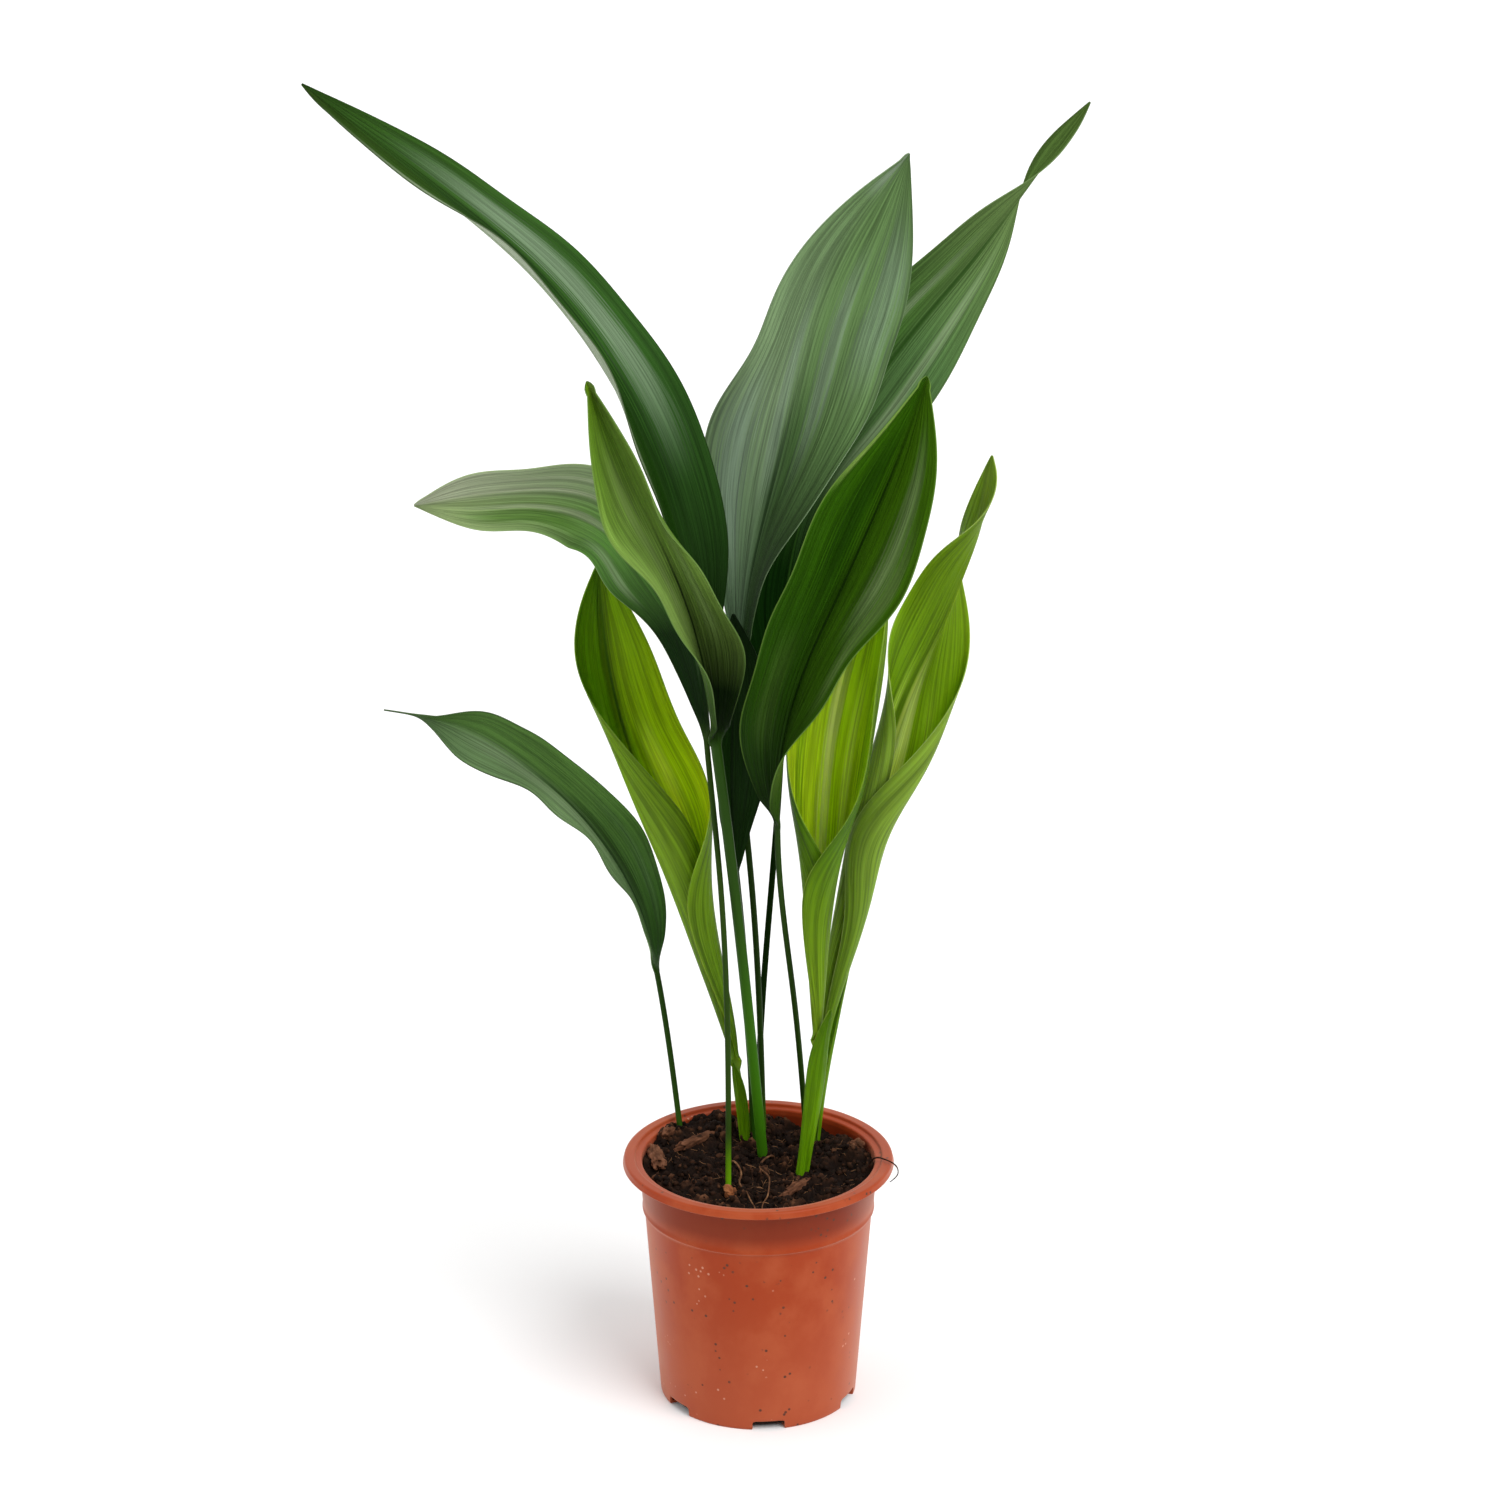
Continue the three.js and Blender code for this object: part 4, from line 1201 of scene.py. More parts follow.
class Rib:
    """The line of a stalk and its midrib, read by length along it."""

    def __init__(self, points: tuple[Point, ...], start: int) -> None:
        """Sample a natural spline through the points, spaced by their straight distances.

        Args:
            points: Points from the foot in the soil to the tip.
            start: Which of them is the start of the blade.
        """
        knots = chain_lengths(points)
        self.points = Spline(knots, np.array(points)).at(np.linspace(0, knots[-1], RIB_SAMPLES + 1))
        self.lengths = chain_lengths(self.points)
        self.length = self.lengths[-1]
        self.start = self.lengths[round(knots[start] / knots[-1] * RIB_SAMPLES)]

    def read(self, rows: Array, lengths: Array) -> Array:
        """Rows given at the samples, read at lengths along the line."""
        return np.stack([np.interp(lengths, self.lengths, rows[:, k]) for k in range(3)], 1)

    def at(self, lengths: Array) -> tuple[Array, Array]:
        """Points and unit directions at lengths along the line."""
        tangents = np.gradient(self.points, self.lengths, axis=0)
        return self.read(self.points, lengths), unit(self.read(tangents, lengths))

    def length_at_height(self, z: float) -> float:
        """The length along the line at which it reaches a height."""
        return float(self.lengths[np.argmax(self.points[:, 2] >= z)])


def blade_frame(along: Array, degrees: Array) -> tuple[Array, Array]:
    """The right-hand and upward directions of a blade after its turn.

    Up is the front direction made square to the rib. Right is square to both. The pair is then
    turned about the rib.

    Args:
        along: Unit directions of the rib.
        degrees: How far the upper face is turned to the right.

    Returns:
        Right and up, one row for each direction.
    """
    up = unit(FRONT - (along @ FRONT)[:, None] * along)
    right = np.cross(along, up)
    angle = np.radians(degrees)[:, None]
    return right * np.cos(angle) - up * np.sin(angle), up * np.cos(angle) + right * np.sin(angle)


@dataclass(frozen=True)
class LeafShape:
    """One leaf: its rib line in millimetres and, along the blade, its widths and angles.

    rib[start] is where the blade begins. half is the half width, turn the degrees its face is
    turned right, rise the degrees each half leaves the midrib and curl how much further it bends
    on its way to the margin. tighten above 1 bends it mostly near the margin. share scales the
    left and the right half. wave is the height, count and two shifts of the waves along the
    margins. fade_in is the share of the length over which the stalk opens into the blade.
    """

    node: str
    finish: Finish
    stalk: float
    rib: tuple[Point, ...]
    start: int
    half: tuple[float, ...]
    turn: Along
    rise: tuple[Along, Along]
    curl: tuple[Along, Along]
    tighten: float = 1.0
    share: tuple[Along, Along] = (1.0, 1.0)
    wave: tuple[float, float, float, float] = (0.0, 1.0, 0.0, 0.0)
    fade_in: float = FADE_IN


@dataclass
class Leaf:
    """A fine leaf: a blade that grows out of its round stalk."""

    shape: LeafShape
    across: int = 20
    rows: int = 150
    stalk_rows: int = 26
    fine: int = 6
    sharp_degrees: float = 55

    def half_section(self, side: int, t: Array, bent: Array) -> tuple[Array, Array, Array]:
        """Places and bend angles across one half, for a half 1 wide.

        The angle is the rise plus the curl times the share of the width to the power of tighten.
        Its cosine and sine are added up in small steps, which gives the place.

        Args:
            side: 0 for the left half and 1 for the right.
            t: Shares of the blade's length.
            bent: How much of the rise and the curl is reached, 0 to 1.

        Returns:
            x, z and angle, a row for each t and a column for each of the points across.
        """
        rise = np.radians(profile(self.shape.rise[side], t)) * bent
        curl = np.radians(profile(self.shape.curl[side], t)) * bent
        steps = self.across * self.fine
        middle = (np.arange(steps) + 0.5) / steps
        angle = rise[:, None] + curl[:, None] * middle[None, :] ** self.shape.tighten
        start = np.zeros((len(t), 1))
        every = slice(self.fine - 1, None, self.fine)
        x = np.hstack([start, np.cumsum(np.cos(angle), 1)[:, every]]) / steps
        z = np.hstack([start, np.cumsum(np.sin(angle), 1)[:, every]]) / steps
        out = np.linspace(0, 1, self.across + 1)
        return x, z, rise[:, None] + curl[:, None] * out[None, :] ** self.shape.tighten

    def thickness(self, out: Array, width: Array, opening: Array) -> tuple[Array, Array]:
        """How far the faces lie above and below the middle surface.

        The stalk is round. The blade is thin, thinner at its margin by the twelfth power of the
        share across, and swells under the rib by an even S.

        Args:
            out: Shares of the half width.
            width: The half width at each ring.
            opening: How far the blade has opened from the stalk, 0 to 1.

        Returns:
            The heights above and below, a row for each ring.
        """
        reach = out[None, :] * width[:, None]
        swell = np.minimum(1, width / FULL_SWELL_WIDTH)[:, None]
        swell = RIB_SWELL * swell * (1 - ease(reach / RIB_REACH))
        edge = BLADE_EDGE / 2 * np.sqrt(np.clip(1 - (0.93 * out[None, :]) ** 12, 0, 1))
        round_stalk = self.shape.stalk * np.sqrt(1 - (0.99 * out[None, :]) ** 2)
        mix = opening[:, None]
        return round_stalk * (1 - mix) + edge * mix, round_stalk * (1 - mix) + (edge + swell) * mix

    def surface(self) -> Surface:
        """Work out the leaf: each ring runs over the upper face and back under the lower one.

        The faces lie to either side of the middle surface, square to it, except that the midrib
        faces midway between its two halves, and within the reach of the rib they ease over to
        it. Where the half width is small, at the tip, the section flattens in proportion.

        Returns:
            The surface, with the marks that its finish reads.
        """
        shape = self.shape
        rib = Rib(shape.rib, shape.start)
        blade = rib.length - rib.start
        stalk = np.linspace(0, rib.start, self.stalk_rows, endpoint=False)
        lengths = np.concatenate([stalk, rib.start + blade * np.linspace(0, 1, self.rows + 1)])
        share = (lengths - rib.start) / blade
        t = np.clip(share, 0, 1)
        opening = ease(t / shape.fade_in)
        points, along = rib.at(lengths)
        right, up = (axis[:, None] for axis in blade_frame(along, profile(shape.turn, t)))
        base = np.where(share > 0, profile(shape.half, t), shape.stalk)
        bent = opening * np.minimum(1, base / FLAT_BELOW)
        halves = [self.half_section(side, t, bent) for side in (0, 1)]
        rib_tilt = (halves[0][2][:, :1] - halves[1][2][:, :1]) / 2
        out = np.linspace(0, 1, self.across + 1)
        height, count, *shifts = shape.wave
        top, bottom, across, widths = [], [], [], []
        for side, hand in ((0, -1.0), (1, 1.0)):
            width = base * profile(shape.share[side], t)
            x, z, angle = halves[side]
            meet = ease(out[None, :] * width[:, None] / RIB_REACH)
            tilt = (angle * meet - hand * rib_tilt * (1 - meet))[..., None]
            above, below = self.thickness(out, width, opening)
            wave = height * np.sin(np.pi * t) * np.sin(2 * np.pi * (count * t + shifts[side]))
            face = -hand * np.sin(tilt) * right + np.cos(tilt) * up
            middle = points[:, None] + (hand * x * width[:, None])[..., None] * right
            middle = middle + (z * width[:, None])[..., None] * up
            middle = middle + (wave[:, None] * out[None, :] ** 2)[..., None] * face
            order = slice(None, None, -1) if side == 0 else slice(1, None)
            top.append((middle + above[..., None] * face)[:, order])
            bottom.append((middle - below[..., None] * face)[:, order])
            across.append(np.broadcast_to(hand * out, x.shape)[:, order])
            widths.append(np.broadcast_to(width[:, None], x.shape)[:, order])
        top, bottom, across, widths = (np.concatenate(part, 1) for part in (top, bottom, across, widths))
        ring = np.concatenate([top, bottom[:, ::-1]], 1)
        upper = np.repeat([1.0, 0.0], top.shape[1])
        return blade_surface(ring, there_and_back(across), share[:, None], there_and_back(widths), upper)

    def build(self, seed: int) -> None:
        """Make the leaf in place of its solid and dress it.

        Args:
            seed: Shifts the finish's noise.
        """
        node = self.shape.node
        finish = self.shape.finish.value.material(seed)
        name = node.replace("leaf_", "blade_")
        build_piece(name, self.surface(), finish, node, self.sharp_degrees)


LEAVES = (
    LeafShape(
        "leaf_arching_left",
        Finish.ARCHING,
        stalk=1.7,
        rib=((-2, 38, 111), (-11, 35, 270), (-26, 29, 381), (-34, 25, 429), (-48, 22, 484),
             (-75, 17, 545), (-113, 12, 597), (-157, 6, 637), (-216, 0, 687)),
        start=2,
        half=(1.7, 24.5, 31.5, 31.5, 24.5, 15, 0.5),
        turn=(56, 60, 75, 26),
        rise=(25, 25),
        curl=(8, 8),
        wave=(1.5, 4.5, 0.1, 0.55),
    ),
    LeafShape(
        "leaf_broad_centre",
        Finish.BROAD,
        stalk=1.6,
        rib=((3, 45, 111), (-3.8, 45, 268), (-9.4, 40, 388), (-1, 44, 443), (10, 50, 490),
             (20, 58, 537), (38, 64, 589), (74, 70, 640)),
        start=2,
        half=(1.6, 15.5, 31.5, 38, 40.5, 44, 43, 30, 0.5),
        turn=(-26, -50, -17, 28, 35, 44),
        rise=(20, 20),
        curl=(10, 10),
        wave=(1.6, 3.5, 0.3, 0.8),
    ),
    LeafShape(
        "leaf_upper_right",
        Finish.UPPER,
        stalk=1.6,
        rib=((-1.5, 51, 111), (2.4, 59, 196), (12.5, 72, 350), (21, 84, 443), (47, 92, 498),
             (76, 98, 540), (108, 102, 579), (135, 104, 616), (165, 104, 659)),
        start=2,
        half=(1.6, 27.5, 37, 35, 21.5, 13.5, 0.5),
        turn=(-12, -73, -93, -60, -16, 66, 166),
        rise=((25, 30, 20, -5, -14), -14),
        curl=(-7, -7),
        share=((1, 1.6, 1.2, 1, 1, 1, 1), 1),
        wave=(1.4, 4, 0.6, 0.15),
    ),
    LeafShape(
        "leaf_front_right",
        Finish.RIGHT,
        stalk=1.5,
        rib=((26, 50, 111), (18.4, 23, 209), (9.4, -10, 314), (13, -24, 368), (25, -34, 414),
             (37, -40, 444), (53, -46, 484), (68, -48, 523), (79, -50, 558)),
        start=2,
        half=(1.5, 19, 30.5, 38, 46, 35, 0.5),
        turn=(-74, -20, -5, 1),
        rise=(42, 45),
        curl=(21, 23),
        wave=(1.6, 3.5, 0.05, 0.5),
    ),
    LeafShape(
        "leaf_front_left",
        Finish.LEFT,
        stalk=2.7,
        rib=((3.5, 17, 111), (-7, 4, 228), (-21, -24, 364), (-28, -34, 412), (-38, -40, 450),
             (-52, -46, 486), (-81, -56, 557)),
        start=2,
        half=(2.7, 19.4, 31, 30.2, 34, 27, 0.5),
        turn=(40, 23, -5, 4),
        rise=(51, 51),
        curl=(31, 31),
        wave=(1.5, 3.5, 0.4, 0.9),
    ),
    LeafShape(
        "leaf_level_left",
        Finish.LEVEL,
        stalk=1.45,
        rib=((-15.5, -22, 111), (-19.6, -6.5, 290), (-26, -3, 360), (-31, 1, 403), (-50, 3, 451),
             (-81, 3, 482), (-114, 0, 487), (-168, -6, 482)),
        start=2,
        half=(1.45, 12.5, 25.5, 39.5, 41.5, 38, 24.5, 17, 0.5),
        turn=(-50, -54, -48, -33, -22, -6),
        rise=(11, 18),
        curl=(0, 4),
        share=((1, 1.06, 1.05, 0.86, 0.85, 1, 1), 1),
        wave=(1.2, 4, 0.7, 0.2),
    ),
    LeafShape(
        "leaf_low_left",
        Finish.LOW,
        stalk=1.5,
        rib=((-39, 33, 113), (-48, 52, 180), (-53, 57, 210), (-61, 60, 242), (-75, 60, 272),
             (-98, 58, 304), (-124, 54, 329), (-152, 48, 349), (-190, 40, 361)),
        start=2,
        half=(1.5, 12, 19.5, 23, 22, 18.5, 17, 16.5, 15, 3.2, 0.5),
        turn=(66, 65, 34, -63),
        rise=(21, 21),
        curl=(12, 12),
        wave=(1.6, 5, 0.2, 0.65),
    ),
    LeafShape(
        "leaf_inner_small",
        Finish.INNER,
        stalk=1.7,
        rib=((0, 29, 111), (-8, 25, 225), (-12, 19, 278), (-14, 13, 333), (-13, 12, 386),
             (-12.5, 15, 420)),
        start=2,
        half=(1.7, 10, 18, 19, 15, 0.5),
        turn=34.0,
        rise=(26, 26),
        curl=(16, 16),
        wave=(0.6, 3, 0.0, 0.5),
    ),
)

YOUNG_LEAVES = (
    LeafShape(
        "leaf_young_left",
        Finish.YOUNG_LEFT,
        stalk=1.6,
        rib=((-6, 29, 111), (-11, 37, 163), (-29, 43, 228), (-46, 48, 280), (-66, 50, 337),
             (-77, 50, 386), (-80, 47, 438)),
        start=1,
        half=(1.6, 21.5, 41.5, 52, 37, 26, 0.5),
        turn=(5, 16, 19, 4),
        rise=((21, 41, 33, 5), (19, 29, 18, 3)),
        curl=((148, 251, 226, 173, 113, 51, 33), (140, 192, 191, 105, 70, 58, 28)),
        tighten=1.5,
        fade_in=ROLLED_FADE_IN,
        share=(0.95, 1),
    ),
    LeafShape(
        "leaf_young_middle",
        Finish.YOUNG_MIDDLE,
        stalk=2.2,
        rib=((20.5, -7, 111), (30, 5, 189), (31, 13, 238), (32, 20, 288), (36, 23, 351),
             (47, 22, 404), (63, 18, 447)),
        start=1,
        half=(2.2, 22.5, 39.5, 43, 41, 34.5, 0.5),
        turn=(-12, -7, -4, -8),
        rise=((21, 32, 19, 4), (30, 37, 21, 11)),
        curl=((145, 252, 221, 113, 74, 47, 40), (140, 200, 178, 99, 91, 110, 80)),
        tighten=1.5,
        fade_in=ROLLED_FADE_IN,
        share=(0.9, 1),
    ),
    LeafShape(
        "leaf_young_right",
        Finish.YOUNG_RIGHT,
        stalk=2.0,
        rib=((28, 36, 111), (33.5, 36, 167), (42.5, 36, 223), (53, 34, 282), (65, 33, 334),
             (78, 33, 375), (94, 36, 410), (102, 38, 431), (111, 40, 458), (116, 42, 494)),
        start=1,
        half=(2, 16, 32.5, 48.5, 39.5, 28.5, 18.5, 0.5),
        turn=(-45, -23, -7, -9, 13, 37, 83, 158),
        rise=((-7, 2, 25, -9, -35, 13), (28, 17, 30, -22, -48, 4)),
        curl=((180, 233, 238, 237, 186, 2, -56, -12), (150, 195, 202, 222, 205, 128, 28, 7)),
        tighten=1.5,
        fade_in=ROLLED_FADE_IN,
        share=((0.9, 0.86, 0.82, 0.75, 0.72, 0.85, 0.95, 1), 1),
    ),
)


@dataclass
class Sheath:
    """A pointed scale that wraps the foot of a shoot, keel outwards.

    It reaches up its host to the height top. wrap is the angle that it spans at its foot, turn
    the way that its keel faces, swell how much wider it gets upwards, and lean how far its tip
    stands off the shoot, from the share leans_from of its height.
    """

    node: str
    host: LeafShape
    top: float
    turn: float
    wrap: float
    swell: float
    lean: float
    leans_from: float = 0.7
    across: int = 28
    rows: int = 60
    thickness: float = 0.7
    off: float = 0.6
    keel: float = 0.35
    keel_width: float = 0.12
    narrowing: float = 0.93
    sharp_degrees: float = 50

    def surface(self) -> Surface:
        """Work out the wall: arcs about the shoot, whose spread narrows to the tip.

        The spread is the wrap times one less the narrowing times the cube of the height's share.
        The radius swells upwards by an even S, the keel stands out by a bell curve, and near its
        tip the scale leans off the shoot by a square law.

        Returns:
            The surface, with the marks that its finish reads.
        """
        rib = Rib(self.host.rib, self.host.start)
        t = np.linspace(0, 1, self.rows + 1)
        middle, along = rib.at(rib.length_at_height(self.top) * t)
        right, up = blade_frame(along, np.full(len(t), self.turn))
        lean = self.lean * (np.clip(t - self.leans_from, 0, 1) / (1 - self.leans_from)) ** 2
        middle = (middle + up * lean[:, None])[:, None]
        spread = np.radians(self.wrap / 2) * (1 - self.narrowing * t**3)
        sigma = np.linspace(-1, 1, 2 * self.across + 1)
        angle = (np.pi / 2 - spread[:, None] * sigma[None, :])[..., None]
        radial = np.cos(angle) * right[:, None] + np.sin(angle) * up[:, None]
        inner = (self.host.stalk + self.off + self.swell * ease((t - 0.15) / 0.6))[:, None]
        wall = self.thickness * np.sqrt(np.clip(1 - (0.97 * np.abs(sigma)) ** 8, 0.05, 1))
        keel = self.keel * np.exp(-((sigma / self.keel_width) ** 2))
        outside = middle + radial * (inner + (wall + keel)[None, :])[..., None]
        inside = middle + radial * inner[..., None]
        ring = np.concatenate([outside, inside[:, ::-1]], 1)
        arc = spread[:, None] * (inner + self.thickness)
        return blade_surface(ring, there_and_back(sigma[None]), 0.1 + 0.9 * t[:, None], arc, np.zeros(1))

    def build(self, seed: int) -> None:
        """Make the sheath in place of its solid and dress it.

        Args:
            seed: Shifts the finish's noise.
        """
        name = self.node.replace("sheath_", "scale_")
        finish = Finish.SHEATH.value.material(seed)
        build_piece(name, self.surface(), finish, self.node, self.sharp_degrees)


# ---- the pot ------------------------------------------------------------------------------


@dataclass
class Pot:
    """A round nursery pot with a rolled rim, a ringed collar and notches round its foot.

    Radii are outer ones, but for the mouth's. bead_z is the height of the bead under the collar,
    and bead_step how far it stands off the wall. rim_drop and ledge_drop are how far below the
    top the rim's underside and the ledge inside lie. foot_round is how much the lower edge is
    rounded. The notches reach notch_depth into the floor, and fade out in the wall at blend_z.
    """

    height: float = 132
    rim_radius: float = 70
    mouth_radius: float = 63.8
    rim_drop: float = 3.6
    collar_radius: float = 61.4
    bead_radius: float = 60.1
    bead_z: float = 104.5
    bead_step: float = 1.1
    base_radius: float = 51.2
    wall: float = 1.3
    foot_round: float = 0.35
    floor: float = 1.6
    floor_rings: tuple[float, ...] = (18, 36)
    floor_ring_height: float = 0.3
    ledge_drop: float = 1.4
    notches: int = 6
    notch_width: float = 17
    notch_height: float = 4.8
    notch_depth: float = 9
    notch_turn: float = 6
    notch_power: int = 8
    blend_z: float = 14
    sectors: int = 288
    sharp_degrees: float = 60

    def wall_radius(self, z: Array) -> Array:
        """Outer radius of the tapered wall under the bead."""
        top = self.bead_radius - self.bead_step
        return self.base_radius + (top - self.base_radius) * np.asarray(z) / self.bead_z

    def notch_lift(self, angle: Array) -> Array:
        """Height of the wall's lower edge: 0, or the notch's height under a flattened arch.

        The arch is a superellipse across the notch's width.

        Args:
            angle: Angles round the pot, in radians.

        Returns:
            The height at each angle.
        """
        pitch = 2 * np.pi / self.notches
        centre = np.radians(self.notch_turn) - np.pi / 2
        off = (angle - centre + pitch / 2) % pitch - pitch / 2
        share = np.abs(off) * self.base_radius / (self.notch_width / 2)
        power = self.notch_power
        return self.notch_height * np.clip(1 - share**power, 0, 1) ** (1 / power)

    def angles(self) -> Array:
        """Angles round the pot, at even steps and closer together at the sides of the notches.

        Returns:
            The angles in radians, in rising order.
        """
        pitch = 2 * np.pi / self.notches
        half = self.notch_width / 2 / self.base_radius
        centre = np.radians(self.notch_turn) - np.pi / 2
        near = half * np.array([0.8, 0.9, 0.95, 0.98, 0.995, 1.001])
        sides = [centre + i * pitch + s * near for i in range(self.notches) for s in (-1, 1)]
        even = np.linspace(-np.pi, np.pi, self.sectors, endpoint=False)
        every = np.concatenate([even, *sides])
        return np.unique(np.round((every + np.pi) % (2 * np.pi) - np.pi, 6))

    def upper_outline(self) -> tuple[Array, Array]:
        """Outline from the wall over the bead, collar and rim, and down the inside.

        Each corner is rounded by points a little before and after it.

        Returns:
            The outer part from bottom to top, and the inner part from top to bottom.
        """
        top, rim, mouth = self.height, self.rim_radius, self.mouth_radius
        collar, swell, bead = self.collar_radius, self.bead_radius, self.bead_z
        lip = top - self.rim_drop
        ledge = top - self.ledge_drop
        throat = collar - self.wall
        outer = np.array([
            (self.wall_radius(bead - 3), bead - 3), (self.wall_radius(bead - 1.3), bead - 1.3),
            (swell - 0.5, bead - 0.9), (swell, bead - 0.4),
            (swell, bead + 0.4), (swell - 0.3, bead + 0.9),
            (swell - 0.2, bead + 3),
            (collar - 0.2, lip - 5), (collar, lip - 2.6),
            (collar + 0.5, lip - 1.2), (collar + 2, lip - 0.35),
            (rim - 1.6, lip - 0.1), (rim - 0.5, lip - 0.06),
            (rim - 0.1, lip + 0.1), (rim, lip + 0.4),
            (rim - 0.12, lip + 0.9), (rim - 0.4, lip + 1.6),
            (rim - 0.55, top - 1.0), (rim - 0.8, top - 0.45),
            (rim - 1.25, top - 0.12), (rim - 2.2, top),
        ])
        inner = np.array([
            (mouth + 2.4, top - 0.12), (mouth + 1.4, top - 0.02),
            (mouth + 0.6, top - 0.04), (mouth + 0.2, top - 0.2),
            (mouth, top - 0.5), (mouth - 0.1, ledge + 0.35),
            (mouth - 0.3, ledge + 0.08), (mouth - 0.7, ledge - 0.05),
            (throat + 1.2, ledge - 0.12), (throat + 0.5, ledge - 0.25), (throat + 0.15, ledge - 0.55),
            (throat, ledge - 1.2), (swell - 0.3 - self.wall, bead + 1.6),
            (self.wall_radius(bead - 3) - self.wall, bead - 3),
        ])
        return outer, inner

    def wall_surface(self) -> Surface:
        """Work out the wall as one closed ring of profiles round the axis.

        Below blend_z the profile is squeezed upwards to the height of the notch at each angle.

        Returns:
            The surface.
        """
        angle = self.angles()
        lift = self.notch_lift(angle)
        outer, inner = self.upper_outline()
        plain = np.linspace(self.blend_z, self.bead_z - 3, 12)[1:-1]
        shares = np.concatenate([[0.03], np.linspace(0, 1, 9)[1:]])

        def rows_low(inset: float, shares: Array) -> tuple[Array, Array]:
            """Radius and height of the rows between the lower edge and blend_z."""
            z = lift[None, :] + shares[:, None] * (self.blend_z - lift[None, :])
            return self.wall_radius(z) - inset, z

        def rows_plain(pairs: Array) -> tuple[Array, Array]:
            """Radius and height of rows that are the same all round."""
            full = np.ones((1, len(angle)))
            return pairs[:, :1] * full, pairs[:, 1:] * full

        def foot(inset: float) -> tuple[Array, Array]:
            """Radius and height of a row along the lower edge."""
            return self.wall_radius(lift)[None, :] - inset, lift[None, :]

        straight = np.stack([self.wall_radius(plain), plain], 1)
        parts = [
            foot(self.foot_round),
            rows_low(0, shares),
            rows_plain(straight),
            rows_plain(outer),
            rows_plain(inner),
            rows_plain((straight - [self.wall, 0])[::-1]),
            rows_low(self.wall, shares[::-1]),
            foot(self.wall - self.foot_round),
        ]
        radius, z = (np.concatenate(rows) for rows in zip(*parts))
        points = np.stack([radius * np.cos(angle), radius * np.sin(angle), z], -1)
        rows, columns = radius.shape
        last = (rows - 1) * columns
        seam = grid_faces(2, columns)
        seam = np.where(seam < columns, seam + last, seam - columns)
        return Surface(points.reshape(-1, 3), [grid_faces(rows, columns), seam])

    def floor_surface(self) -> Surface:
        """Work out the floor: a disc with moulded rings beneath, cut back at the notches.

        Each ring's height is a bell curve of the distance from its radius.

        Returns:
            The surface.
        """
        angle = self.angles()
        open_foot = ease(self.notch_lift(angle) / self.notch_height * 4)
        edge = self.wall_radius(0) - 0.5 - (self.notch_depth - 0.5) * open_foot
        share = np.concatenate([np.linspace(0.03, 0.97, 40), [1.0]])
        radius = share[:, None] * edge[None, :]
        x, y = radius * np.cos(angle), radius * np.sin(angle)
        bells = sum(np.exp(-((radius - ring) ** 2) / 0.8) for ring in self.floor_rings)
        under = np.stack([x, y, self.floor_ring_height * bells], -1)
        over = np.stack([x, y, np.full_like(radius, self.floor)], -1)
        rings = np.concatenate([under, over[::-1]])
        points = np.concatenate([rings.reshape(-1, 3), [[0, 0, 0], [0, 0, self.floor]]])
        return Surface(points, closed_rings(*rings.shape[:2]))

    def build(self) -> None:
        """Make the wall and the floor in place of the pot's solid and dress them."""
        finish = PotFinish().material()
        for name, surface in (("pot_wall", self.wall_surface()), ("pot_floor", self.floor_surface())):
            build_piece(name, surface, finish, "pot", self.sharp_degrees)


# ---- the soil -----------------------------------------------------------------------------


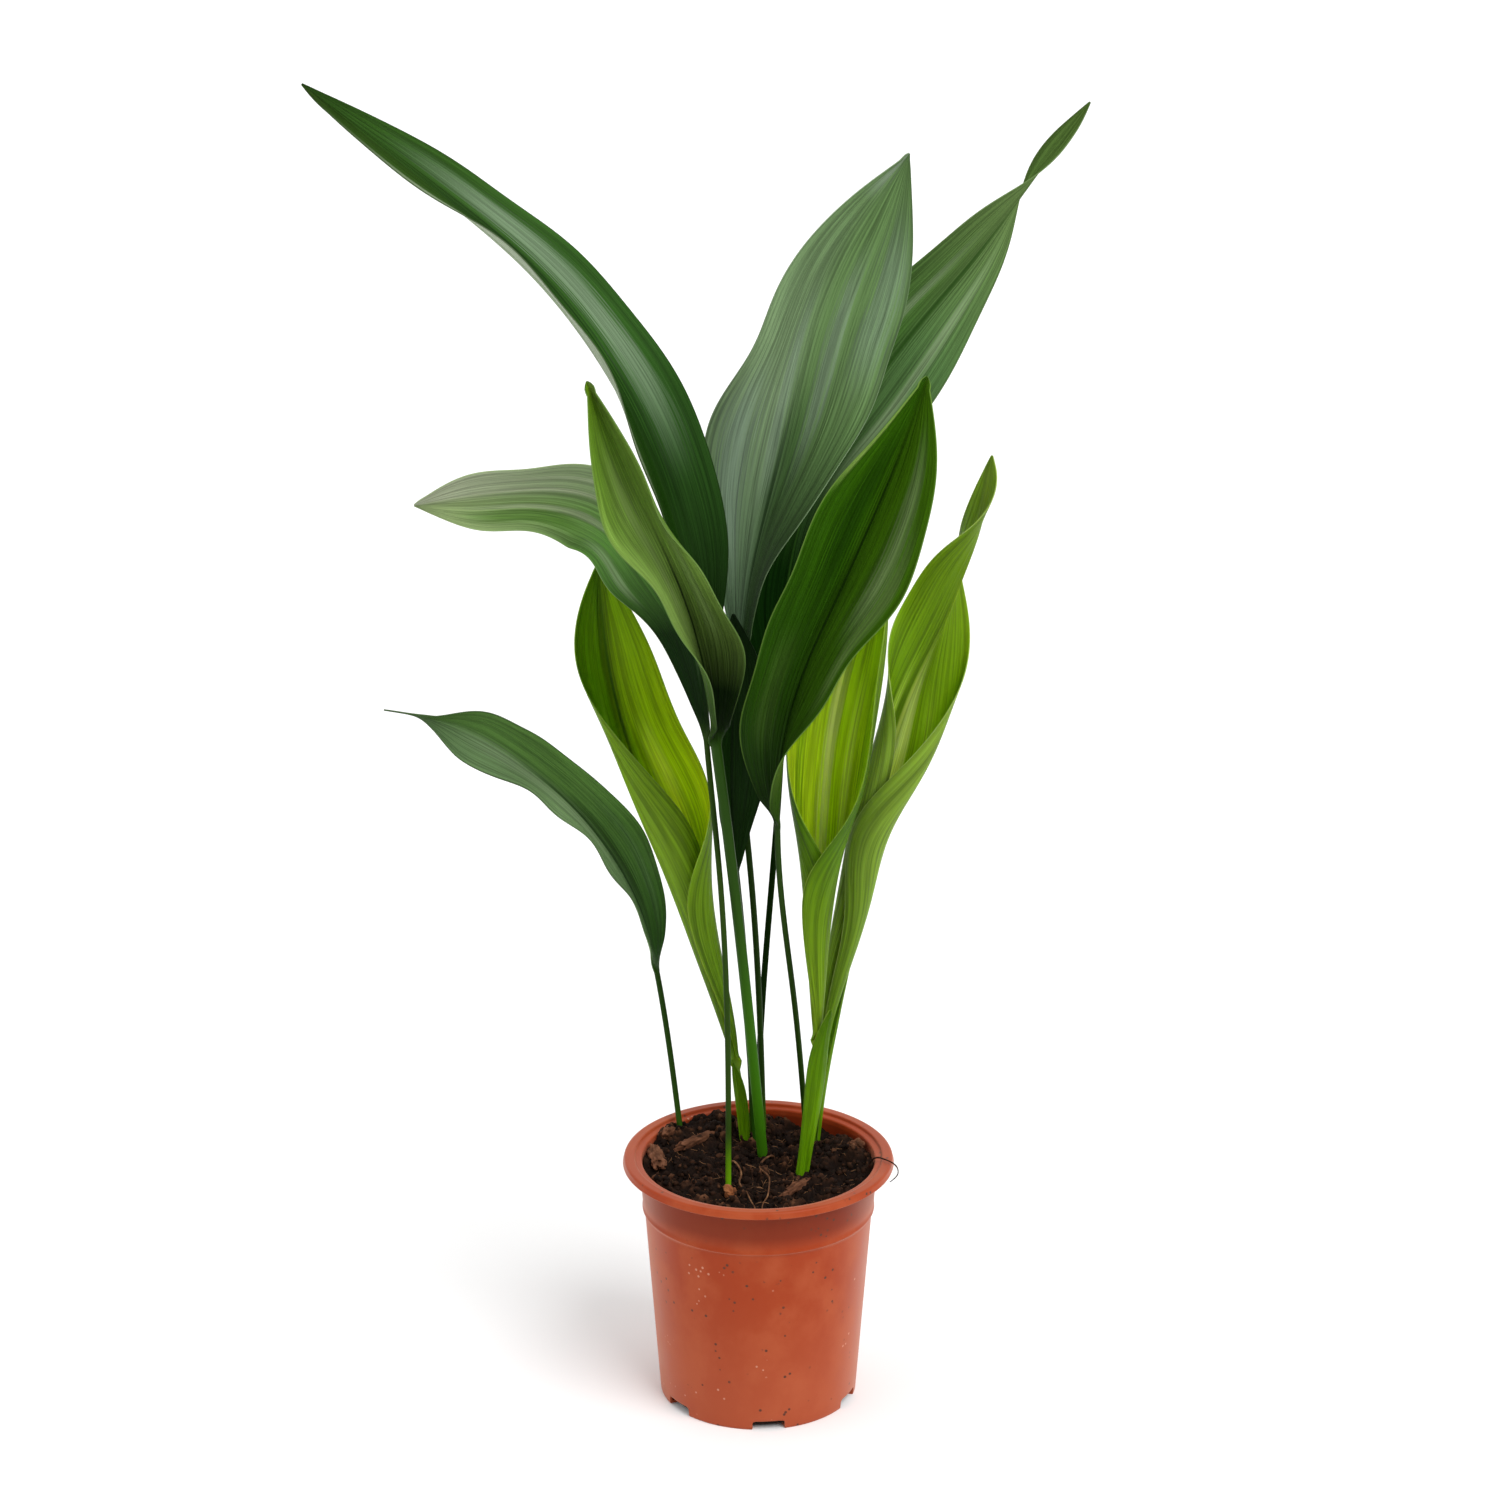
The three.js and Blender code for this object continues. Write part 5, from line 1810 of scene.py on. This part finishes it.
@dataclass
class Soil:
    """Peat: a bed broken into clods and crumbs, with loose crumbs and fibres on it.

    It is heaped up at the left, the back left and the right. A mound is its middle, its height
    and its spread. clod and crumb are the steps between neighbours, and clod_height,
    crumb_height and grit_height how far each kind rises. warp is how far noise of the size
    warp_size shifts them. scatter and sprinkle are the radii within which loose crumbs and
    fibres lie. seed fixes where everything lies.
    """

    level: float = 122.8
    mounds: tuple[tuple[float, float, float, float], ...] = (
        (-55, 22, 6, 28), (-25, 60, 6, 25), (50, 20, 4, 15),
    )
    lump: float = 1.2
    clod: float = 10.5
    clod_height: float = 5.8
    crumb: float = 3.6
    crumb_height: float = 1.9
    grit: float = 1.6
    grit_height: float = 0.7
    warp: float = 2.2
    warp_size: float = 6
    rings: int = 140
    sectors: int = 420
    clearance: float = 0.4
    loose_crumbs: int = 1500
    scatter: float = 57.5
    fibres: int = 150
    sprinkle: float = 52
    seed: int = 11

    def bed(self, x: Array, y: Array) -> Array:
        """Height of the plain bed: bell-shaped mounds over a level, with low swells.

        Args:
            x: Places to the right.
            y: Places to the back.

        Returns:
            The height at each place.
        """
        heaped = np.zeros_like(x)
        for middle_x, middle_y, height, spread in self.mounds:
            away = np.hypot(x - middle_x, y - middle_y) / spread
            heaped = heaped + height * np.exp(-0.5 * away * away)
        coarse = np.sin(0.21 * x + 1.3 * np.sin(0.13 * y)) * np.sin(0.24 * y + 0.9)
        fine = np.sin(0.52 * x - 0.31 * y + 2) * np.sin(0.47 * y + 0.36 * x)
        return self.level + heaped + self.lump * (0.7 * coarse + 0.5 * fine)

    def broken(self, x: Array, y: Array) -> tuple[Array, Array]:
        """Height with clods and crumbs, and the tone that the colour is picked by.

        Each clod and crumb is a rounded cap about its cell's centre, warped by noise, and as high
        as a random number says. Tone is lighter on high caps and dark in the gaps, as painted
        highlights and painted shade over each clod's own random tone.

        Args:
            x: Places to the right.
            y: Places to the back.

        Returns:
            Height and tone at each place.
        """
        flat = np.stack([x, y], 1)
        sway = flat / self.warp_size
        warp = np.stack([fractal(sway, 3, 3), fractal(sway, 3, 8)], 1) * self.warp
        away, mark = cobbles((flat + warp) / self.clod, self.seed)
        cap = dome(away, 0.72, 0.6) * (0.35 + 0.65 * mark)
        small, little = cobbles((flat + 0.6 * warp) / self.crumb, self.seed + 5)
        grain = dome(small, 0.75, 0.7) * (0.3 + 0.7 * little)
        rough = fractal(flat / self.grit, 3, 21)
        rise = self.clod_height * (cap - 0.48) + self.crumb_height * (grain - 0.4)
        rise = rise + self.grit_height * rough
        # painted highlights on high caps and painted shade in the gaps, over the random tone
        tone = 0.04 + 0.52 * cap * mark + 0.34 * grain * little + 0.16 * rough
        tone = tone + 0.12 * fractal(flat / 14, 2, 40)
        return self.bed(x, y) + rise, tone

    def bed_surface(self) -> Surface:
        """Work out the bed as rings from the middle to the wall, then down and under.

        Returns:
            The surface, marked with its tone.
        """
        pot = Pot()
        angle = np.linspace(0, 2 * np.pi, self.sectors, endpoint=False)
        outer = pot.bead_radius + 1.0 - pot.wall - self.clearance
        share = np.linspace(0, 1, self.rings + 1)[1:]
        radius = (outer * share)[:, None] * np.ones_like(angle)
        x, y = (radius * np.cos(angle)).ravel(), (radius * np.sin(angle)).ravel()
        z, tone = self.broken(x, y)
        sunk = pot.floor + self.clearance
        rim = np.stack([np.cos(angle), np.sin(angle)], 1)
        levels = ((pot.bead_z, 0.9), (pot.bead_z - 6, 0.6), (sunk + 1, 0.6), (sunk, 1.6))
        skirt = [
            np.column_stack([rim * (pot.wall_radius(h) - pot.wall - inset), np.full(len(angle), h)])
            for h, inset in levels
        ]
        centre_z, centre_tone = self.broken(np.zeros(1), np.zeros(1))
        ends = [[0, 0, centre_z[0]], [0, 0, sunk]]
        points = np.concatenate([np.stack([x, y, z], 1), *skirt, ends])
        buried = 0.3
        tones = np.concatenate([tone, np.full(self.sectors * len(skirt), buried), centre_tone, [buried]])
        faces = closed_rings(self.rings + len(skirt), self.sectors, flip=True)
        return Surface(points, faces, {"tone": tones})

    def crumb_surface(self) -> Surface:
        """Work out loose crumbs: small rough balls of few faces, strewn over the bed.

        Each is a squashed ball of 6 by 4 points whose radius wanders, turned at random, half sunk
        at its place. Few are large.

        Returns:
            The surface, marked with its tone.
        """
        draw = np.random.default_rng(self.seed)
        count = self.loose_crumbs
        reach = self.scatter * np.sqrt(draw.random(count))
        turn = 2 * np.pi * draw.random(count)
        x, y = reach * np.cos(turn), reach * np.sin(turn)
        z, _ = self.broken(x, y)
        size = 0.45 + 1.6 * draw.random(count) ** 3
        around, levels = 6, 4
        lon = 2 * np.pi * np.arange(around) / around
        lat = np.linspace(-0.36, 0.36, levels)[:, None] * np.pi
        level = np.sin(lat) * np.ones(around)
        ball = np.stack([np.cos(lat) * np.cos(lon), np.cos(lat) * np.sin(lon), level], -1)
        ball = np.concatenate([ball.reshape(-1, 3), [[0, 0, -1], [0, 0, 1]]])
        radii = size[:, None] * (0.75 + 0.5 * draw.random((count, len(ball))))
        shape = ball[None] * radii[..., None] * (0.6 + 0.6 * draw.random((count, 1, 3)))
        frames = np.linalg.qr(draw.normal(size=(count, 3, 3)))[0]
        frames *= np.sign(np.linalg.det(frames))[:, None, None]
        points = np.einsum("nij,nkj->nki", frames, shape)
        points += np.stack([x, y, z + 0.25 * size], 1)[:, None]
        faces = repeated(closed_rings(levels, around), count, len(ball))
        tone = np.repeat(0.12 + 0.56 * draw.random(count) ** 2.2, len(ball))
        return Surface(points.reshape(-1, 3), faces, {"tone": tone})

    def fibre_surface(self) -> Surface:
        """Work out fibres: thin bent tubes of 4 sides that lie over the crumbs.

        Each runs straight with a sideways bow, settles halfway between the ground under it and
        that ground's mean height, and tapers to both ends.

        Returns:
            The surface, marked with its tone.
        """
        draw = np.random.default_rng(self.seed + 1)
        count, steps, sides = self.fibres, 9, 4
        reach = self.sprinkle * np.sqrt(draw.random(count))
        turn = 2 * np.pi * draw.random(count)
        start = np.stack([reach * np.cos(turn), reach * np.sin(turn)], 1)
        heading = 2 * np.pi * draw.random(count)
        length = 3 + 9 * draw.random(count) ** 2
        bow = (draw.random(count) - 0.5) * 0.5
        s = np.linspace(-0.5, 0.5, steps)
        ahead = np.stack([np.cos(heading), np.sin(heading)], 1)
        aside = np.stack([-np.sin(heading), np.cos(heading)], 1)
        line = start[:, None] + ahead[:, None] * (s[None] * length[:, None])[..., None]
        line = line + aside[:, None] * ((0.25 - s**2)[None] * (bow * length)[:, None])[..., None] * 2
        height, _ = self.broken(line[..., 0].ravel(), line[..., 1].ravel())
        height = height.reshape(count, steps)
        settled = 0.5 * height.mean(1, keepdims=True) + 0.5 * height + 0.35
        path = np.concatenate([line, settled[..., None]], -1)
        radius = (0.09 + 0.13 * draw.random(count))[:, None] * np.sqrt(1 - (1.9 * s[None]) ** 2)
        points = tube_rings(path, radius, sides, (0, 0, 1.0))
        ends = np.array([[0, 1, 2, 3]]), (steps - 1) * sides + np.array([[3, 2, 1, 0]])
        faces = repeated([grid_faces(steps, sides)[:, ::-1], *ends], count, steps * sides)
        tone = np.repeat(0.35 + 0.6 * draw.random(count), steps * sides)
        return Surface(points.reshape(-1, 3), faces, {"tone": tone})

    def build(self) -> None:
        """Make the bed in place of the soil's solid, with its crumbs and fibres, and dress them."""
        peat = PEAT.material()
        build_piece("peat_bed", self.bed_surface(), peat, "soil")
        build_piece("peat_crumbs", self.crumb_surface(), peat)
        build_piece("peat_fibres", self.fibre_surface(), ROOT.material())


@dataclass
class BarkChip:
    """A broken piece of bark or rhizome that lies in the peat.

    at is its middle, size its length, width and height, turn the way that it points and tilt
    how far it leans over. block holds the powers that square it: towards its ends, round its
    sides and up its height.
    """

    node: str
    at: Point
    size: Point
    turn: float
    tilt: float
    finish: EarthFinish = BARK
    slot: str = "bark"
    around: int = 72
    levels: int = 40
    block: Point = (0.55, 0.8, 0.8)
    coarse: float = 0.28
    ridges: float = 0.16

    def surface(self) -> Surface:
        """Work out the chip: a squared ball whose radius wanders, with ridges along its length.

        Cosines and sines are raised to a power under 1, which squares the ball. Noise of two
        sizes, the finer one stretched along the chip, moves each point out or in.

        Returns:
            The surface, marked with its tone.
        """
        lon = 2 * np.pi * np.arange(self.around) / self.around
        lat = np.linspace(-0.485, 0.485, self.levels)[:, None] * np.pi
        to_ends, round_sides, up_height = self.block
        inward = squared_off(np.cos(lat), to_ends)
        x = inward * squared_off(np.cos(lon), round_sides)
        y = inward * squared_off(np.sin(lon), round_sides)
        z = squared_off(np.sin(lat), up_height) * np.ones(self.around)
        ball = np.concatenate([np.stack([x, y, z], -1).reshape(-1, 3), [[0, 0, -1.0], [0, 0, 1.0]]])
        shape = ball * (np.array(self.size) / 2)
        seed = int(abs(self.turn)) + 3
        coarse = fractal(shape / 3.0 + 50, 3, seed)
        ridges = fractal(shape / np.array([5.0, 1.1, 1.1]) + 50, 3, seed + 9)
        shape = shape * (1 + self.coarse * coarse + self.ridges * ridges)[:, None]
        points = shape @ (turned(self.turn, 2) @ turned(self.tilt, 0)).T + np.array(self.at)
        tone = 0.5 + 0.3 * ridges + 0.2 * coarse
        return Surface(points, closed_rings(self.levels, self.around), {"tone": tone})

    def build(self) -> None:
        """Make the chip in place of its solid and dress it."""
        name = self.node.replace("bark_", "broken_bark_").replace("rhizome_", "bare_rhizome_")
        build_piece(name, self.surface(), self.finish.material(), self.node)


CHIPS = (
    BarkChip("bark_chip_left", (-52.5, 3, 128.4), (24, 7, 5), 100, 6),
    BarkChip("bark_chip_back_left", (-47.6, 27.6, 131.2), (9, 7, 6), 65, -8),
    BarkChip("bark_chip_front", (19.5, -21, 123.7), (28, 4.5, 3), 56, 8),
    BarkChip("bark_clod_right", (50.5, 19, 127.4), (9, 8, 6.5), 15, 0),
    BarkChip("bark_sliver", (-33, 22, 129.4), (27, 5, 4.5), 47, 12),
    BarkChip("rhizome_tip", (-14, -29, 124.1), (10, 6.5, 6), -62, 0, RHIZOME, "rhizome"),
)


@dataclass
class Root:
    """A root that shows: a tube of changing thickness along a smooth line.

    knob is how much it swells at its knots, uneven how much it wavers between them, and taper
    how much of its radius is gone at its end.
    """

    node: str
    radius: float
    path: tuple[Point, ...]
    finish: EarthFinish = ROOT
    steps: int = 120
    sides: int = 10
    knob: float = 0.5
    uneven: float = 0.12
    taper: float = 0.45

    def surface(self) -> Surface:
        """Work out the tube: rings square to the line, swelling at knots and tapering at its end.

        Knots are the cube of smooth noise where it is above 0. The taper grows with the square
        of the share of the length.

        Returns:
            The surface, marked with its tone.
        """
        points = np.array(self.path, float)
        knots = chain_lengths(points)
        s = np.linspace(0, knots[-1], self.steps)
        line = Spline(knots, points).at(s)
        knobs = np.clip(value_noise(np.column_stack([s / 1.7, s * 0]), 4), 0, 1) ** 3
        wavering = value_noise(np.column_stack([s, s * 0]), 9)
        radius = self.radius * (0.85 + self.knob * knobs + self.uneven * wavering)
        radius = radius * (1 - self.taper * (s / s[-1]) ** 2)
        rings = tube_rings(line, radius, self.sides, (0.3, 0.2, 1.0))
        cloud = np.concatenate([rings.reshape(-1, 3), line[:1], line[-1:]])
        tone = 0.5 + 0.35 * fractal(cloud / 2.5 + 20, 2, 5)
        return Surface(cloud, closed_rings(self.steps, self.sides, flip=True), {"tone": tone})

    def build(self) -> None:
        """Make the root in place of its solid and dress it."""
        name = self.node.replace("root_", "fine_root_")
        build_piece(name, self.surface(), self.finish.material(), self.node)


ROOTS = (
    Root(
        "root_over_rim",
        0.55,
        ((55, -1, 119.5), (57, -2.5, 125.5), (58.3, -4, 130.5), (61, -5.8, 133), (64.7, -8.6, 133.4),
         (68.4, -12, 133.2), (71.2, -14.6, 131.4), (71.6, -15.4, 128.6), (69.6, -16, 125.8),
         (67.4, -16.2, 124)),
        DARK_ROOT,
    ),
    Root(
        "root_front_left",
        0.6,
        ((-15, 8, 121), (-13.5, 4, 126.2), (-8.8, -10, 125.6), (-9.8, -19, 125.3),
         (-6.5, -29, 125), (-3.5, -41, 124.6), (-1.8, -47, 123.8), (-1.2, -50, 120.5)),
    ),
    Root(
        "root_front_right",
        0.6,
        ((9, 15, 120.5), (7.5, 11, 126), (0.8, -2.6, 125.8), (4.2, -9.5, 125.5),
         (5.4, -23.8, 125.2), (4, -37, 124.8), (2, -44, 124.2), (1.6, -48, 120.5)),
    ),
)


# ---- the studio ---------------------------------------------------------------------------


@dataclass(frozen=True)
class Sun:
    """A soft distant light.

    toward is the direction from the plant to the light, and spread how wide the light is in the
    sky, in degrees.
    """

    name: str
    toward: Point
    strength: float
    spread: float

    def build(self) -> None:
        """Hang the light up, turned to shine along its direction."""
        data = bpy.data.lights.new(self.name, "SUN")
        data.energy = self.strength
        data.angle = math.radians(self.spread)
        lamp = bpy.data.objects.new(self.name, data)
        x, y, z = self.toward
        lamp.rotation_euler = (math.atan2(math.hypot(x, y), z), 0, math.atan2(y, x) + math.pi / 2)
        bpy.context.scene.collection.objects.link(lamp)


@dataclass
class Studio:
    """A pale floor, soft light and the camera.

    eye is in metres. The room is as bright as front_light in front, as far round as front_ends,
    and as bright as room_light from room_starts on. Both are how far a direction points back.
    """

    eye: Point = (-0.00433, -1.95934, 1.04549)
    down_degrees: float = 19.45
    lens_mm: float = 100.0
    sensor_mm: float = 36.0
    sees_to: float = 100.0
    floor_size: float = 40.0
    floor_colour: Colour = (0.97, 0.97, 0.97)
    floor_roughness: float = 0.9
    suns: tuple[Sun, ...] = (
        Sun("key", (0.55, -0.6, 0.9), 2.1, 40),
        Sun("fill", (-0.9, -0.35, 0.7), 0.42, 60),
    )
    front_light: float = 0.3
    front_ends: float = -0.9
    room_light: float = 0.85
    room_starts: float = 0.1

    def camera(self) -> None:
        """Stand the camera in front of the plant, looking down on it a little."""
        data = bpy.data.cameras.new("camera")
        data.lens = self.lens_mm
        data.sensor_width = self.sensor_mm
        data.clip_end = self.sees_to
        camera = bpy.data.objects.new("camera", data)
        camera.location = self.eye
        camera.rotation_euler = (math.radians(90 - self.down_degrees), 0, 0)
        bpy.context.scene.collection.objects.link(camera)
        bpy.context.scene.camera = camera

    def floor(self) -> None:
        """Lay a wide pale floor under the pot."""
        half = self.floor_size / 2
        mesh = bpy.data.meshes.new("floor")
        corners = [(-half, -half, 0), (half, -half, 0), (half, half, 0), (-half, half, 0)]
        mesh.from_pydata(corners, [], [(0, 1, 2, 3)])
        floor = bpy.data.objects.new("floor", mesh)
        bpy.context.scene.collection.objects.link(floor)
        paint = Board("pale_floor").dress(base_color=self.floor_colour, roughness=self.floor_roughness)
        mesh.materials.append(paint)

    def surround(self) -> None:
        """Surround the plant with a pale room that is dim at the front.

        The brightness eases from the front to the sides by how far a direction points back.
        """
        world = bpy.data.worlds.new("studio")
        world.use_nodes = True
        nodes, links = world.node_tree.nodes, world.node_tree.links
        where = nodes.new("ShaderNodeTexCoord")
        split = nodes.new("ShaderNodeSeparateXYZ")
        bright = nodes.new("ShaderNodeMapRange")
        bright.interpolation_type = "SMOOTHSTEP"
        limits = (self.front_ends, self.room_starts, self.front_light, self.room_light)
        for socket, number in zip(bright.inputs[1:], limits):
            socket.default_value = number
        links.new(where.outputs["Generated"], split.inputs[0])
        links.new(split.outputs["Y"], bright.inputs[0])
        links.new(bright.outputs[0], nodes["Background"].inputs["Strength"])
        nodes["Background"].inputs["Color"].default_value = (1, 1, 1, 1)
        bpy.context.scene.world = world

    def build(self) -> None:
        """Make the floor, the lights, the surrounding light and the camera."""
        self.floor()
        for sun in self.suns:
            sun.build()
        self.surround()
        bpy.context.scene.view_settings.view_transform = "Standard"
        self.camera()


YOUNG_LEFT, YOUNG_MIDDLE, YOUNG_RIGHT = YOUNG_LEAVES
SHEATHS = (
    Sheath("sheath_front_right", YOUNG_MIDDLE, top=212, turn=30, wrap=250, swell=2.1, lean=6.9),
    Sheath("sheath_left", YOUNG_LEFT, top=168, turn=-15, wrap=240, swell=0.6, lean=1),
    Sheath("sheath_back_right", YOUNG_RIGHT, top=226, turn=108, wrap=150, swell=1.5, lean=0.8),
)
FIRST_SHEATH_SEED = 20


def main() -> None:
    """Build the plant, its pot and the studio in order, and report each piece."""
    logging.basicConfig(level=logging.INFO, format="%(name)s %(message)s")
    Studio().build()
    Pot().build()
    Soil().build()
    for seed, shape in enumerate(LEAVES):
        Leaf(shape).build(seed)
    for seed, shape in enumerate(YOUNG_LEAVES, len(LEAVES)):
        Leaf(shape, across=30, rows=170).build(seed)
    for seed, sheath in enumerate(SHEATHS, FIRST_SHEATH_SEED):
        sheath.build(seed)
    for piece in (*CHIPS, *ROOTS):
        piece.build()


if __name__ == "__main__":
    main()
